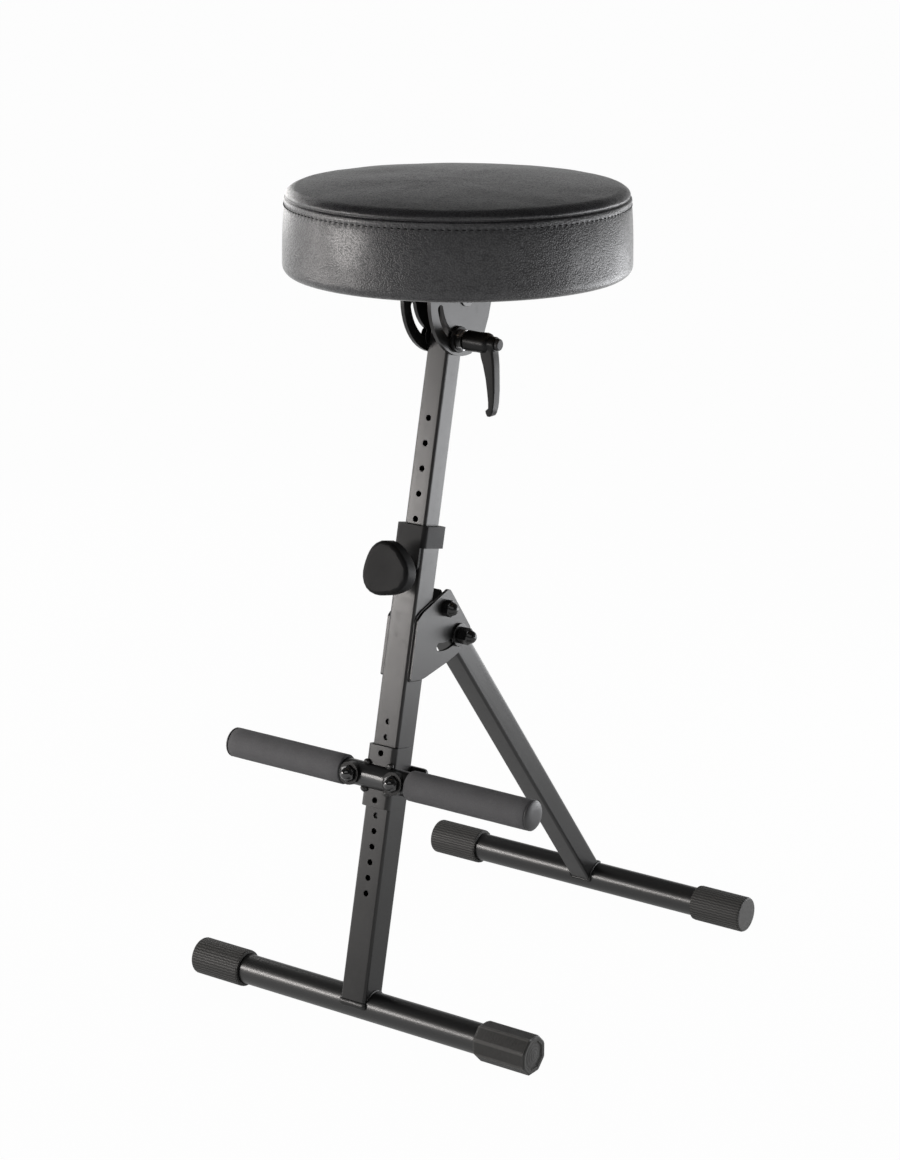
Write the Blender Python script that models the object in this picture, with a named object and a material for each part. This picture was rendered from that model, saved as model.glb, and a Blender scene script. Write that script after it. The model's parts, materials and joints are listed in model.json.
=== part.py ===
"""Folding, height-adjustable performer's stool with a tilting round seat and a footrest.

Units are metres, +Z is up, +X runs along the feet and +Y points to the rear.
The origin lies on the floor, midway between the two feet.
"""

from math import asin, atan2, cos, pi, radians, sin, sqrt, tan

import bmesh
import bpy
from mathutils import Matrix, Vector

# Clearance between pieces that touch
FIT = 0.0003

# Feet
FOOT_SPACING = 0.4214
FOOT_TUBE_DIAMETER = 0.031
FOOT_TUBE_WALL = 0.002
FRONT_FOOT_LENGTH = 0.4146
REAR_FOOT_LENGTH = 0.406
CAP_DIAMETER = 0.0374
CAP_LENGTH = 0.0605
CAP_END = 0.005
CAP_CHAMFER = 0.0015
LEVELLER_FLATS = 8
LEVELLER_EDGE = 0.0008
LEVELLER_DISC = 0.0295
LEVELLER_RECESS = 0.0016
LEVELLER_TAPER = 0.0035
LEVELLER_DISH_SHARES = (1, 0.94, 0.5, 0.06)

# Post, in its own frame: z along the post from the front foot, -y towards the front
POST_TILT = radians(12.66)
POST_FOOT_LEAD = 0.0028
POST_WIDTH = 0.030
POST_WALL = 0.002
TUBE_CORNER = 0.003
POST_BOTTOM = 0.006
POST_TOP = 0.4827
FOOTREST_HOLE_DIAMETER = 0.0062
FOOTREST_HOLE_PITCH = 0.0158
FOOTREST_HOLE_FIRST = 0.1152
FOOTREST_HOLE_COUNT = 12

# Collar on top of the post
COLLAR_WALL = 0.003
COLLAR_SKIRT = 0.0182
COLLAR_CORNER = 0.005
COLLAR_TONGUE_WIDTH = 0.027
COLLAR_TONGUE_CORNER = 0.005

# Lock of the seat height
LOCK_BELOW_TOP = 0.0415
LOCK_THREAD_DIAMETER = 0.008
LOCK_TIP_DIAMETER = 0.0054
LOCK_TIP_LENGTH = 0.0065
LOCK_TIP_GAP = 0.0004
LOCK_TIP_CHAMFER = 0.0008
LOCK_BOSS_DIAMETER = 0.016
LOCK_BOSS_LENGTH = 0.0147
LOCK_STAND_OFF = 0.009
KNOB_RADIUS = 0.0268
KNOB_LOBE = 0.0019
KNOB_THICKNESS = 0.017
KNOB_EDGE = 0.004
KNOB_BACK_EDGE = 0.002
KNOB_POINTS = 30
KNOB_TURN = radians(107)
KNOB_HUB_DIAMETER = 0.022
KNOB_HUB_LENGTH = 0.003
KNOB_SOCKET = 0.012

# Seat tube, sliding in the post
SEAT_TUBE_WIDTH = 0.025
SEAT_TUBE_WALL = 0.002
SEAT_TUBE_LENGTH = 0.542
SEAT_PIVOT_HEIGHT = 0.7159
SEAT_TUBE_OVER_PIVOT = 0.013
SEAT_HOLE_DIAMETER = 0.0064
SEAT_HOLE_PITCH = 0.025
SEAT_STEPS_DOWN = 6
SEAT_STEPS_UP = 4
GLIDE_FLANGE = 0.004
GLIDE_TENON = 0.012
PLUG_CHAMFER = 0.001

# Fasteners
BOLT_DIAMETER = 0.008
HEX_FLATS = 0.015
HEX_HEIGHT = 0.0055
BUSH_DIAMETER = 0.012
NUT_DOME_SHARE = 0.94
NUT_DOME_ANGLES = (2, 32, 56, 77)
NUT_BORE_SHARE = 0.58
DOMED_HEAD = ((1.0, 0.5), (0.65, 0.85), (0.25, 1.0), (0.0, 1.0))

# Hinge of the rear leg
HINGE_PLATE = 0.0032
LEG_PIVOT_BACK = 0.0338
LEG_PIVOT_HEIGHT = 0.405
LEG_WIDTH = 0.025
LEG_WALL = 0.002
LEG_OVER_PIVOT = 0.010
LEG_PLUG_HEAD = 0.0027
LEG_PLUG_TENON = 0.003
STOP_RADIUS = 0.0395
STOP_LEAD = radians(5)
STOP_WASHER_DIAMETER = 0.024
STOP_WASHER = 0.0028
PIVOT_NUT_LENGTH = 0.0138
PLATE_DROP = 0.0328
PLATE_TOP = 0.0185
PLATE_EDGE = 0.0168
PLATE_NOSE = 0.0245
PLATE_TOE = 0.021
PLATE_CORNER = 0.004
PLATE_SWEEP = 0.030
LEG_WASHER_DIAMETER = 0.022
STOP_NUT_LENGTH = 0.0178

# Seat and its tilt bracket, in a level frame at the seat pivot
SEAT_RISE = 0.0194
SEAT_BACK = 0.0095
SEAT_RADIUS = 0.1714
SEAT_SIDE = 0.0737
SEAT_CROWN = 0.0185
SEAT_SEAM_INSET = 0.003
SEAT_TOP_ROUND = 0.013
SEAT_BOTTOM_ROUND = 0.009
SEAT_LIP = 0.0016
SEAT_SHOULDER_SHARE = 0.6
SEAT_CROWN_SHARES = (0.8, 0.55, 0.3, 0.1)
SEAT_SIDE_SHARES = ((0.45, 0.0), (0.78, 0.33))
SEAM_GROOVE = 0.0016
BOARD_RADIUS = 0.150
BOARD_THICKNESS = 0.012
BRACKET_PLATE = 0.004
BRACKET_GAP = 0.0015
BRACKET_LOBE = 0.0612
BRACKET_FLANGE = 0.028
BRACKET_REAR = 0.046
BRACKET_LOBE_END = radians(277)
BRACKET_REAR_EDGE = ((0.5, 0.70), (0.61, 0.47), (0.68, 0.25))
BRACKET_BEND = 0.003
TILT_SLOT_SPAN = radians(58)
SCREW_HEAD_DIAMETER = 0.009
SCREW_HEAD = 0.003
SCREW_SHANK_DIAMETER = 0.0045
SCREW_LENGTH = 0.0125
SCREW_SIDE = 0.034
SCREW_FRONT = -0.048
SCREW_REAR = 0.031

# Tilt clamp
CLAMP_RADIUS = 0.0455
CLAMP_FRONT = 0.0065
CLAMP_HEAD_DIAMETER = 0.019
CLAMP_HEAD = 0.0035
CLAMP_DISC_DIAMETER = 0.020
CLAMP_FLANGE_DIAMETER = 0.026
CLAMP_FLANGE = 0.0035
INSERT_DIAMETER = 0.0206
INSERT_NECK = 0.006
INSERT_STEM_DIAMETER = 0.0125
INSERT_STEM = 0.018
INSERT_FLOOR = 0.003
LEVER_HUB_RADIUS = 0.0105
LEVER_HUB_LENGTH = 0.036
LEVER_ARM_LENGTH = 0.071
LEVER_EDGE = 0.0025
LEVER_ARM_ROUND = 0.36
LEVER_HUB_SHARES = ((0.0, 0.8), (0.07, 1.0), (0.4, 0.95), (0.68, 1.0), (0.76, 0.93), (0.8, 0.72),
                    (0.97, 0.7), (1.0, 0.66))
LEVER_ARM_WIDTH = 0.016
LEVER_ARM_SET_BACK = 0.0094
LEVER_ARM_SHARES = ((0.0, 1.0, 1.0), (0.12, 0.94, 0.96), (0.2, 0.84, 0.94), (0.3, 0.68, 0.83),
                    (0.48, 0.5, 0.66), (0.64, 0.4, 0.56), (0.8, 0.36, 0.43), (0.885, 0.4, 0.37),
                    (0.925, 0.62, 0.55), (0.965, 0.64, 0.44), (1.0, 0.64, 0.2))
LEVER_ARM_ROOT_DEPTH = 0.0128
LEVER_ARM_TIP_DEPTH = 0.0104
BUTTON_DIAMETER = 0.0115
BUTTON_PROUD = 0.004
BUTTON_SINK = 0.003
BUTTON_CHAMFER = 0.0008
BUTTON_STEM_DIAMETER = 0.005
BUTTON_STEM = 0.0045
BUTTON_TRAVEL = 0.003
SPRING_WIRE = 0.0009
SPRING_TURNS = 2
SPRING_STEPS = 10

# Footrest
REST_TUBE_DIAMETER = 0.025
REST_TUBE_WALL = 0.002
REST_TUBE_LENGTH = 0.362
REST_FRONT = 0.0181
SADDLE_SHEET = 0.002
SADDLE_HEIGHT = 0.062
SADDLE_DEPTH = 0.026
LINER_THICKNESS = 0.0028
REST_DROP = 0.0008
SADDLE_BEND = 0.0035
SADDLE_HOLE_LOW = 6
SADDLE_HOLE_STEPS = 3
REST_BOLT_SPACING = 0.053
STRAP_THICKNESS = 0.004
STRAP_HEIGHT = 0.024
STRAP_END = 0.0065
STRAP_CORNER = 0.005
REST_WASHER_DIAMETER = 0.0232
REST_WASHER_PROUD = 0.003
REST_WASHER_WRAP = 0.55
REST_NUT_LENGTH = 0.0095
REST_HEAD_DIAMETER = 0.017
REST_HEAD = 0.0045
GRIP_DIAMETER = 0.0304
GRIP_START = 0.0395
REST_PLUG_HEAD = 0.0042
REST_PLUG_TENON = 0.012
REST_PLUG_DOME = 0.003
REST_PLUG_CURVE = 0.75

# Derived places
FOOT_AXIS = CAP_DIAMETER / 2
LOCK_HEIGHT = POST_TOP - LOCK_BELOW_TOP
SEAT_TUBE_TOP = SEAT_PIVOT_HEIGHT + SEAT_TUBE_OVER_PIVOT
SEAT_TUBE_BOTTOM = SEAT_TUBE_TOP - SEAT_TUBE_LENGTH
SADDLE_MIDDLE = FOOTREST_HOLE_FIRST + (SADDLE_HOLE_LOW + SADDLE_HOLE_STEPS / 2) * FOOTREST_HOLE_PITCH
REST_HEIGHT = SADDLE_MIDDLE - REST_DROP
PLATE_INNER = POST_WIDTH / 2 + FIT
PLATE_OUTER = PLATE_INNER + HINGE_PLATE
CHEEK_INNER = SEAT_TUBE_WIDTH / 2 + BRACKET_GAP
CHEEK_OUTER = CHEEK_INNER + BRACKET_PLATE
BOLT_HOLE = BOLT_DIAMETER + 2 * FIT
SCREW_HOLE = SCREW_SHANK_DIAMETER + 2 * FIT
SCREW_PLACES = [(side * SCREW_SIDE, along) for side in (-1, 1) for along in (SCREW_FRONT, SCREW_REAR)]
SADDLE_INNER = POST_WIDTH / 2 + FIT
SADDLE_OUTER = SADDLE_INNER + SADDLE_SHEET
SADDLE_FRONT = POST_WIDTH / 2 + 2 * FIT + LINER_THICKNESS + SADDLE_SHEET
SIDES = ((-1, "left"), (1, "right"))

# Facets of the round pieces
SMOOTH_ANGLE = radians(35)
ROUND = 16
BOLT_POINTS = 12
WASHER_POINTS = 20
BAR_POINTS = 24
FOOT_POINTS = 32
SEAT_POINTS = 48

POST_FRAME = (Matrix.Translation((0, -FOOT_SPACING / 2 - POST_FOOT_LEAD, FOOT_AXIS))
              @ Matrix.Rotation(-POST_TILT, 4, "X"))
LEG_PIVOT = POST_FRAME @ Vector((0, LEG_PIVOT_BACK, LEG_PIVOT_HEIGHT))
REAR_FOOT = Vector((0, FOOT_SPACING / 2, FOOT_AXIS))
FRONT_FOOT = Vector((0, -FOOT_SPACING / 2, FOOT_AXIS))
LEG_ANGLE = atan2(REAR_FOOT.y - LEG_PIVOT.y, LEG_PIVOT.z - REAR_FOOT.z)
LEG_LENGTH = (REAR_FOOT - LEG_PIVOT).length
LEG_FRAME = Matrix.Translation(LEG_PIVOT) @ Matrix.Rotation(LEG_ANGLE, 4, "X")
LEG_FOLD = LEG_ANGLE + POST_TILT
SEAT_FRAME = Matrix.Translation(POST_FRAME @ Vector((0, 0, SEAT_PIVOT_HEIGHT)))
CLAMP_DROP = sqrt(CLAMP_RADIUS ** 2 - CLAMP_FRONT ** 2)
CLAMP_STUD = (-CLAMP_FRONT, SEAT_PIVOT_HEIGHT - CLAMP_DROP)
CLAMP_FRAME = Matrix.Translation(POST_FRAME @ Vector((0, *CLAMP_STUD)))
CLAMP_ANGLE = POST_TILT + asin(CLAMP_FRONT / CLAMP_RADIUS)
LOCK_FRAME = POST_FRAME @ Matrix.Translation((0, 0, LOCK_HEIGHT))
REST_FRAME = POST_FRAME @ Matrix.Translation((0, -REST_FRONT, REST_HEIGHT))

FINISHES = {
    "black_coat": ((0.035, 0.034, 0.034), 0.38, 0.0),
    "gloss_coat": ((0.012, 0.012, 0.012), 0.22, 0.0),
    "leatherette": ((0.020, 0.021, 0.024), 0.45, 0.0),
    "board_wood": ((0.42, 0.29, 0.17), 0.70, 0.0),
    "black_plastic": ((0.018, 0.018, 0.019), 0.50, 0.0),
    "grey_plastic": ((0.060, 0.060, 0.064), 0.55, 0.0),
    "foam_rubber": ((0.050, 0.051, 0.055), 0.85, 0.0),
    "dark_steel": ((0.045, 0.045, 0.048), 0.30, 0.8),
    "zinc_steel": ((0.62, 0.63, 0.64), 0.28, 1.0),
}


def finish(name, kind):
    """Make the material of one piece in the given finish."""
    colour, roughness, metallic = FINISHES[kind]
    made = bpy.data.materials.new(name)
    made.use_nodes = True
    shader = made.node_tree.nodes["Principled BSDF"]
    shader.inputs["Base Color"].default_value = (*colour, 1)
    shader.inputs["Roughness"].default_value = roughness
    shader.inputs["Metallic"].default_value = metallic
    made.diffuse_color = (*colour, 1)
    return made


def frame(name, matrix):
    """Add an empty that carries the pieces of one moving body."""
    empty = bpy.data.objects.new(name, None)
    bpy.context.collection.objects.link(empty)
    empty.matrix_world = matrix
    return empty


def add_object(name, bm, kind, parent):
    """Turn a bmesh into a named object in its parent's frame."""
    bmesh.ops.recalc_face_normals(bm, faces=bm.faces)
    mesh = bpy.data.meshes.new(name)
    bm.to_mesh(mesh)
    bm.free()
    mesh.materials.append(finish(name, kind))
    mesh.shade_smooth()
    mesh.set_sharp_from_angle(angle=SMOOTH_ANGLE)
    obj = bpy.data.objects.new(name, mesh)
    bpy.context.collection.objects.link(obj)
    obj.parent = parent
    return obj


def combine(obj, tool_bm, operation):
    """Apply a Boolean with a tool that is given in the object's own frame."""
    bmesh.ops.recalc_face_normals(tool_bm, faces=tool_bm.faces)
    tool_mesh = bpy.data.meshes.new("tool")
    tool_bm.to_mesh(tool_mesh)
    tool_bm.free()
    tool = bpy.data.objects.new("tool", tool_mesh)
    bpy.context.collection.objects.link(tool)
    tool.parent = obj.parent
    modifier = obj.modifiers.new("combine", "BOOLEAN")
    modifier.operation = operation
    modifier.solver = "EXACT"
    modifier.object = tool
    bpy.context.view_layer.update()
    evaluated = obj.evaluated_get(bpy.context.evaluated_depsgraph_get())
    obj_mesh = bpy.data.meshes.new_from_object(evaluated)
    obj.modifiers.clear()
    obj.data = obj_mesh
    bpy.data.objects.remove(tool)
    bpy.data.meshes.remove(tool_mesh)
    obj_mesh.shade_smooth()
    obj_mesh.set_sharp_from_angle(angle=SMOOTH_ANGLE)
    return obj


def cut(obj, tool_bm):
    """Take the tool's shape out of the object."""
    return combine(obj, tool_bm, "DIFFERENCE")


def placed(outline, axis, position, centre=(0, 0)):
    """Stand a flat outline square to an axis at a position along it."""
    points = [(centre[0] + u, centre[1] + v) for u, v in outline]
    if axis == "X":
        return [Vector((position, u, v)) for u, v in points]
    if axis == "Y":
        return [Vector((u, position, v)) for u, v in points]
    return [Vector((u, v, position)) for u, v in points]


def skin(rings, closed=False, bm=None):
    """Join rings of equal count into one closed body."""
    bm = bm or bmesh.new()
    loops = [[bm.verts.new(point) for point in ring] for ring in rings]
    pairs = list(zip(loops, loops[1:] + loops[:1] if closed else loops[1:]))
    for low, high in pairs:
        count = len(low)
        for i in range(count):
            j = (i + 1) % count
            bm.faces.new((low[i], low[j], high[j], high[i]))
    if not closed:
        bm.faces.new(list(reversed(loops[0])))
        bm.faces.new(loops[-1])
    return bm


def circle(radius, count=ROUND, turn=0):
    """Points of a circle, the first at a turned angle."""
    angles = [turn + 2 * pi * i / count for i in range(count)]
    return [(radius * cos(angle), radius * sin(angle)) for angle in angles]


def box_outline(width, height):
    """A plain rectangle about the origin."""
    u, v = width / 2, height / 2
    return [(-u, -v), (u, -v), (u, v), (-u, v)]


def polygon(flats, sides, count):
    """Points of a regular polygon, given across its flats, with a corner on every share of the count."""
    points = []
    for i in range(count):
        angle = 2 * pi * i / count
        off_flat = (angle % (2 * pi / sides)) - pi / sides
        radius = flats / 2 / cos(off_flat)
        points.append((radius * cos(angle + pi / sides), radius * sin(angle + pi / sides)))
    return points


def rounded(corners, steps=4):
    """Round the corners of an outline, each given as (u, v, radius)."""
    points = []
    count = len(corners)
    for i, (u, v, radius) in enumerate(corners):
        here = Vector((u, v))
        to_last = (Vector(corners[i - 1][:2]) - here).normalized()
        to_next = (Vector(corners[(i + 1) % count][:2]) - here).normalized()
        if radius <= 0:
            points.append((u, v))
            continue
        half = to_last.angle(to_next) / 2
        middle = here + (to_last + to_next).normalized() * (radius / sin(half))
        start = here + to_last * (radius / tan(half)) - middle
        turn = start.angle_signed(here + to_next * (radius / tan(half)) - middle)
        for k in range(steps + 1):
            spoke = start.copy()
            spoke.rotate(Matrix.Rotation(-turn * k / steps, 2))
            points.append(tuple(middle + spoke))
    return points


def rectangle(width, height, radius, steps=3, centre=(0, 0)):
    """A rounded rectangle."""
    u, v = width / 2, height / 2
    cu, cv = centre
    corners = [(cu - u, cv - v, radius), (cu + u, cv - v, radius),
               (cu + u, cv + v, radius), (cu - u, cv + v, radius)]
    return rounded(corners, steps)


def arc(radius, start, end, steps, centre=(0, 0)):
    """Points of an arc about a centre, between two angles."""
    cu, cv = centre
    angles = [start + (end - start) * i / steps for i in range(steps + 1)]
    return [(cu + radius * cos(a), cv + radius * sin(a)) for a in angles]


def arc_slot(radius, width, start, end, steps=10, centre=(0, 0)):
    """Outline of a curved slot with round ends."""
    half = width / 2
    cu, cv = centre
    last = (cu + radius * cos(end), cv + radius * sin(end))
    first = (cu + radius * cos(start), cv + radius * sin(start))
    return (arc(radius + half, start, end, steps, centre)
            + arc(half, end, end + pi, 6, last)[1:-1]
            + arc(radius - half, end, start, steps, centre)
            + arc(half, start + pi, start + 2 * pi, 6, first)[1:-1])


def prism(outline, axis, low, high, centre=(0, 0)):
    """Extrude an outline along an axis."""
    return skin([placed(outline, axis, low, centre), placed(outline, axis, high, centre)])


def pipe(outer, inner, axis, low, high, centre=(0, 0)):
    """Extrude a hollow section with open ends."""
    return skin([placed(outer, axis, low, centre), placed(outer, axis, high, centre),
                 placed(inner, axis, high, centre), placed(inner, axis, low, centre)], closed=True)


def turned(axis, stations, count=ROUND, centre=(0, 0)):
    """Skin circles of the given (position, radius) stations into a solid."""
    return skin([placed(circle(radius, count), axis, position, centre) for position, radius in stations])


def drills(holes, axis, low, high, count=BOLT_POINTS):
    """Round cutters of one set, given as (centre, diameter)."""
    bm = bmesh.new()
    for centre, diameter in holes:
        outline = circle(diameter / 2, count)
        skin([placed(outline, axis, low, centre), placed(outline, axis, high, centre)], bm=bm)
    return bm


def bushing(name, axis, low, high, outer, bore, kind, parent, centre=(0, 0), count=ROUND):
    """A plain bush, washer or sleeve."""
    body = pipe(circle(outer / 2, count), circle(bore / 2, count), axis, low, high, centre)
    return add_object(name, body, kind, parent)


def square_section(width, wall):
    """Outer and inner outlines of a rounded square tube."""
    bore = width - 2 * wall
    inner_corner = max(TUBE_CORNER - wall, TUBE_CORNER / 3)
    return rectangle(width, width, TUBE_CORNER), rectangle(bore, bore, inner_corner)


def domed_head(seat_at, height, radius):
    """Stations of a domed head from its crown to its seat, the height signed along its axis."""
    return [(seat_at + height * up, radius * out) for up, out in DOMED_HEAD]


def hex_bolt(name, head_at, tip_at, parent, centre):
    """A hexagon-head bolt along X that points to +X, with its head's bearing face at head_at."""
    head = polygon(HEX_FLATS, 6, BOLT_POINTS)
    shank = circle(BOLT_DIAMETER / 2, BOLT_POINTS, pi / 6)
    rings = [placed(head, "X", head_at - HEX_HEIGHT, centre), placed(head, "X", head_at, centre),
             placed(shank, "X", head_at, centre), placed(shank, "X", tip_at, centre)]
    return add_object(name, skin(rings), "dark_steel", parent)


def dome_nut(name, axis, seat_at, length, direction, bore_depth, parent, centre):
    """A hexagon cap nut: flats by its seat, a dome over a blind bore."""
    flats = polygon(HEX_FLATS, 6, BOLT_POINTS)
    bore = circle(BOLT_HOLE / 2, BOLT_POINTS, pi / 6)
    dome = HEX_FLATS / 2 * NUT_DOME_SHARE
    base = length - dome
    rings = [placed(bore, axis, seat_at + direction * bore_depth, centre),
             placed(bore, axis, seat_at, centre),
             placed(flats, axis, seat_at, centre),
             placed(flats, axis, seat_at + direction * base, centre)]
    for degrees in NUT_DOME_ANGLES:
        angle = radians(degrees)
        ring = circle(dome * cos(angle), BOLT_POINTS, pi / 6)
        rings.append(placed(ring, axis, seat_at + direction * (base + dome * sin(angle)), centre))
    return add_object(name, skin(rings), "dark_steel", parent)


def foot_tube(name, length, parent, origin):
    """A round foot tube that runs between its end caps."""
    half = length / 2 - CAP_END - FIT
    radius = FOOT_TUBE_DIAMETER / 2
    bore = circle(radius - FOOT_TUBE_WALL, FOOT_POINTS)
    body = pipe(circle(radius, FOOT_POINTS), bore, "X", -half, half, origin)
    return add_object(name, body, "gloss_coat", parent)


def cap_bore(side, length, origin):
    """The cutter for the pocket of an end cap."""
    mouth = side * (length / 2 - CAP_LENGTH - CAP_END)
    bottom = side * (length / 2 - CAP_END)
    return prism(circle(FOOT_TUBE_DIAMETER / 2 + FIT, FOOT_POINTS), "X", mouth, bottom, origin)


def end_cap(name, side, length, parent, origin):
    """A round end cap with an eased rim."""
    end = length / 2
    radius = CAP_DIAMETER / 2
    stations = [(end - CAP_LENGTH, radius), (end - CAP_CHAMFER, radius),
                (end - CAP_CHAMFER * 0.3, radius - CAP_CHAMFER * 0.3), (end, radius - CAP_CHAMFER)]
    body = turned("X", [(side * along, out) for along, out in stations], FOOT_POINTS, origin)
    cap = add_object(name, body, "grey_plastic", parent)
    return cut(cap, cap_bore(side, length, origin))


def leveller_outline(inset):
    """An eight-sided outline with a flat at the bottom and small broken corners."""
    across = CAP_DIAMETER / 2 - inset
    half_flat = across * tan(pi / LEVELLER_FLATS) - LEVELLER_EDGE
    points = []
    for i in range(LEVELLER_FLATS):
        middle = -pi / 2 + 2 * pi * i / LEVELLER_FLATS
        out = Vector((cos(middle), sin(middle)))
        along = Vector((-out.y, out.x))
        points += [tuple(out * across + along * end * half_flat) for end in (-1, 1)]
    return points


def circle_like(outline, radius):
    """The outline's points drawn in to a circle."""
    return [tuple(Vector(point).normalized() * radius) for point in outline]


def leveller_cap(parent):
    """The eight-sided end cap with a dished end, which turns on the front foot to level the stool."""
    outline = leveller_outline(0)
    rims = [circle_like(outline, LEVELLER_DISC * share / 2) for share in LEVELLER_DISH_SHARES]
    end = FRONT_FOOT_LENGTH / 2
    start = end - CAP_LENGTH
    body = skin([placed(leveller_outline(CAP_CHAMFER), "X", start),
                 placed(outline, "X", start + LEVELLER_TAPER),
                 placed(outline, "X", end - CAP_CHAMFER),
                 placed(leveller_outline(CAP_CHAMFER), "X", end),
                 placed(rims[0], "X", end),
                 placed(rims[1], "X", end - LEVELLER_RECESS),
                 placed(rims[2], "X", end - LEVELLER_RECESS / 2),
                 placed(rims[3], "X", end - LEVELLER_RECESS / 4)])
    cap = add_object("leveller_cap", body, "grey_plastic", parent)
    return cut(cap, cap_bore(1, FRONT_FOOT_LENGTH, (0, 0)))


def post(parent):
    """The outer post, coped over the front foot, with its row of holes in the front wall."""
    outer, inner = square_section(POST_WIDTH, POST_WALL)
    tube = add_object("post_tube", pipe(outer, inner, "Z", POST_BOTTOM, POST_TOP), "black_coat", parent)
    foot = POST_FRAME.inverted() @ FRONT_FOOT
    cope = circle(FOOT_TUBE_DIAMETER / 2 + FIT, FOOT_POINTS)
    cut(tube, prism(cope, "X", -POST_WIDTH, POST_WIDTH, (foot.y, foot.z)))
    heights = [FOOTREST_HOLE_FIRST + i * FOOTREST_HOLE_PITCH for i in range(FOOTREST_HOLE_COUNT)]
    holes = [((0, height), FOOTREST_HOLE_DIAMETER) for height in heights]
    holes.append(((0, LOCK_HEIGHT), LOCK_THREAD_DIAMETER + 2 * FIT))
    return cut(tube, drills(holes, "Y", -POST_WIDTH, 0))


def collar(parent):
    """The moulded guide on the post's head, with a tongue that hooks round the lock's boss."""
    lip = POST_TOP + FIT
    top = lip + COLLAR_WALL
    bore = POST_WIDTH + 2 * FIT
    outside = bore + 2 * COLLAR_WALL
    skirt = POST_TOP - COLLAR_SKIRT
    shell = prism(rectangle(outside, outside, COLLAR_CORNER, 4), "Z", skirt, top)
    body = add_object("post_collar", shell, "black_plastic", parent)
    half = COLLAR_TONGUE_WIDTH / 2
    corner = COLLAR_TONGUE_CORNER
    tongue = rounded([(-half, LOCK_HEIGHT, corner), (half, LOCK_HEIGHT, corner),
                      (half, lip, 0), (-half, lip, 0)])
    combine(body, prism(tongue, "Y", -outside / 2, -bore / 2 + FIT), "UNION")
    cut(body, prism(rectangle(bore, bore, TUBE_CORNER), "Z", LOCK_HEIGHT - LOCK_BOSS_DIAMETER, lip))
    guide = SEAT_TUBE_WIDTH + 2 * FIT
    cut(body, prism(rectangle(guide, guide, TUBE_CORNER), "Z", skirt, top + COLLAR_WALL))
    boss = [((0, LOCK_HEIGHT), LOCK_BOSS_DIAMETER + 2 * FIT)]
    return cut(body, drills(boss, "Y", -POST_WIDTH, 0, ROUND))


def lock(post_body, pin_body, knob_body):
    """The threaded boss, the locking pin and its three-lobed knob, along -Y of the lock frame."""
    face = POST_WIDTH / 2 + FIT
    boss_end = face + LOCK_BOSS_LENGTH
    bushing("lock_boss", "Y", -boss_end, -face, LOCK_BOSS_DIAMETER, LOCK_THREAD_DIAMETER + 2 * FIT,
            "dark_steel", post_body, (0, LOCK_HEIGHT))
    tip = SEAT_TUBE_WIDTH / 2 + LOCK_TIP_GAP
    knob_back = boss_end + LOCK_STAND_OFF
    shoulder = tip + LOCK_TIP_LENGTH
    pin = turned("Y", [(-tip, LOCK_TIP_DIAMETER / 2 - LOCK_TIP_CHAMFER),
                       (-tip - LOCK_TIP_CHAMFER, LOCK_TIP_DIAMETER / 2),
                       (-shoulder, LOCK_TIP_DIAMETER / 2),
                       (-shoulder, LOCK_THREAD_DIAMETER / 2),
                       (-knob_back - KNOB_SOCKET, LOCK_THREAD_DIAMETER / 2)])
    add_object("lock_pin", pin, "zinc_steel", pin_body)
    knob(knob_body, knob_back)


def knob_outline(inset):
    """A circle with three shallow lobes."""
    points = []
    for i in range(KNOB_POINTS):
        angle = 2 * pi * i / KNOB_POINTS
        radius = KNOB_RADIUS - inset + KNOB_LOBE * cos(3 * (angle - KNOB_TURN))
        points.append((radius * cos(angle), radius * sin(angle)))
    return points


def knob(parent, back):
    """The knob with rounded edges, a hub at its back and a blind socket for the pin."""
    front = back + KNOB_THICKNESS
    sections = []
    for degrees in (0, 45, 90):
        angle = radians(degrees)
        sections.append((back + KNOB_BACK_EDGE * (1 - sin(angle)), KNOB_BACK_EDGE * (1 - cos(angle))))
    sections.reverse()
    for degrees in (0, 30, 60, 90):
        angle = radians(degrees)
        sections.append((front - KNOB_EDGE * (1 - sin(angle)), KNOB_EDGE * (1 - cos(angle))))
    rings = [placed(knob_outline(inset), "Y", -at) for at, inset in sections]
    body = add_object("lock_knob", skin(rings), "black_plastic", parent)
    hub = KNOB_HUB_DIAMETER / 2
    hub_end = -back + KNOB_HUB_LENGTH
    combine(body, turned("Y", [(hub_end, hub), (-back - KNOB_EDGE, hub)], WASHER_POINTS), "UNION")
    socket = LOCK_THREAD_DIAMETER / 2 + FIT
    floor = -back - KNOB_SOCKET - FIT
    return cut(body, turned("Y", [(hub_end + KNOB_HUB_LENGTH, socket), (floor, socket)]))


def stop_slot_ends():
    """Angles of the leg's stop bolt about the leg pivot in the post frame, folded and open."""
    folded = -pi / 2 - STOP_LEAD
    return folded, folded + LEG_FOLD


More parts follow.
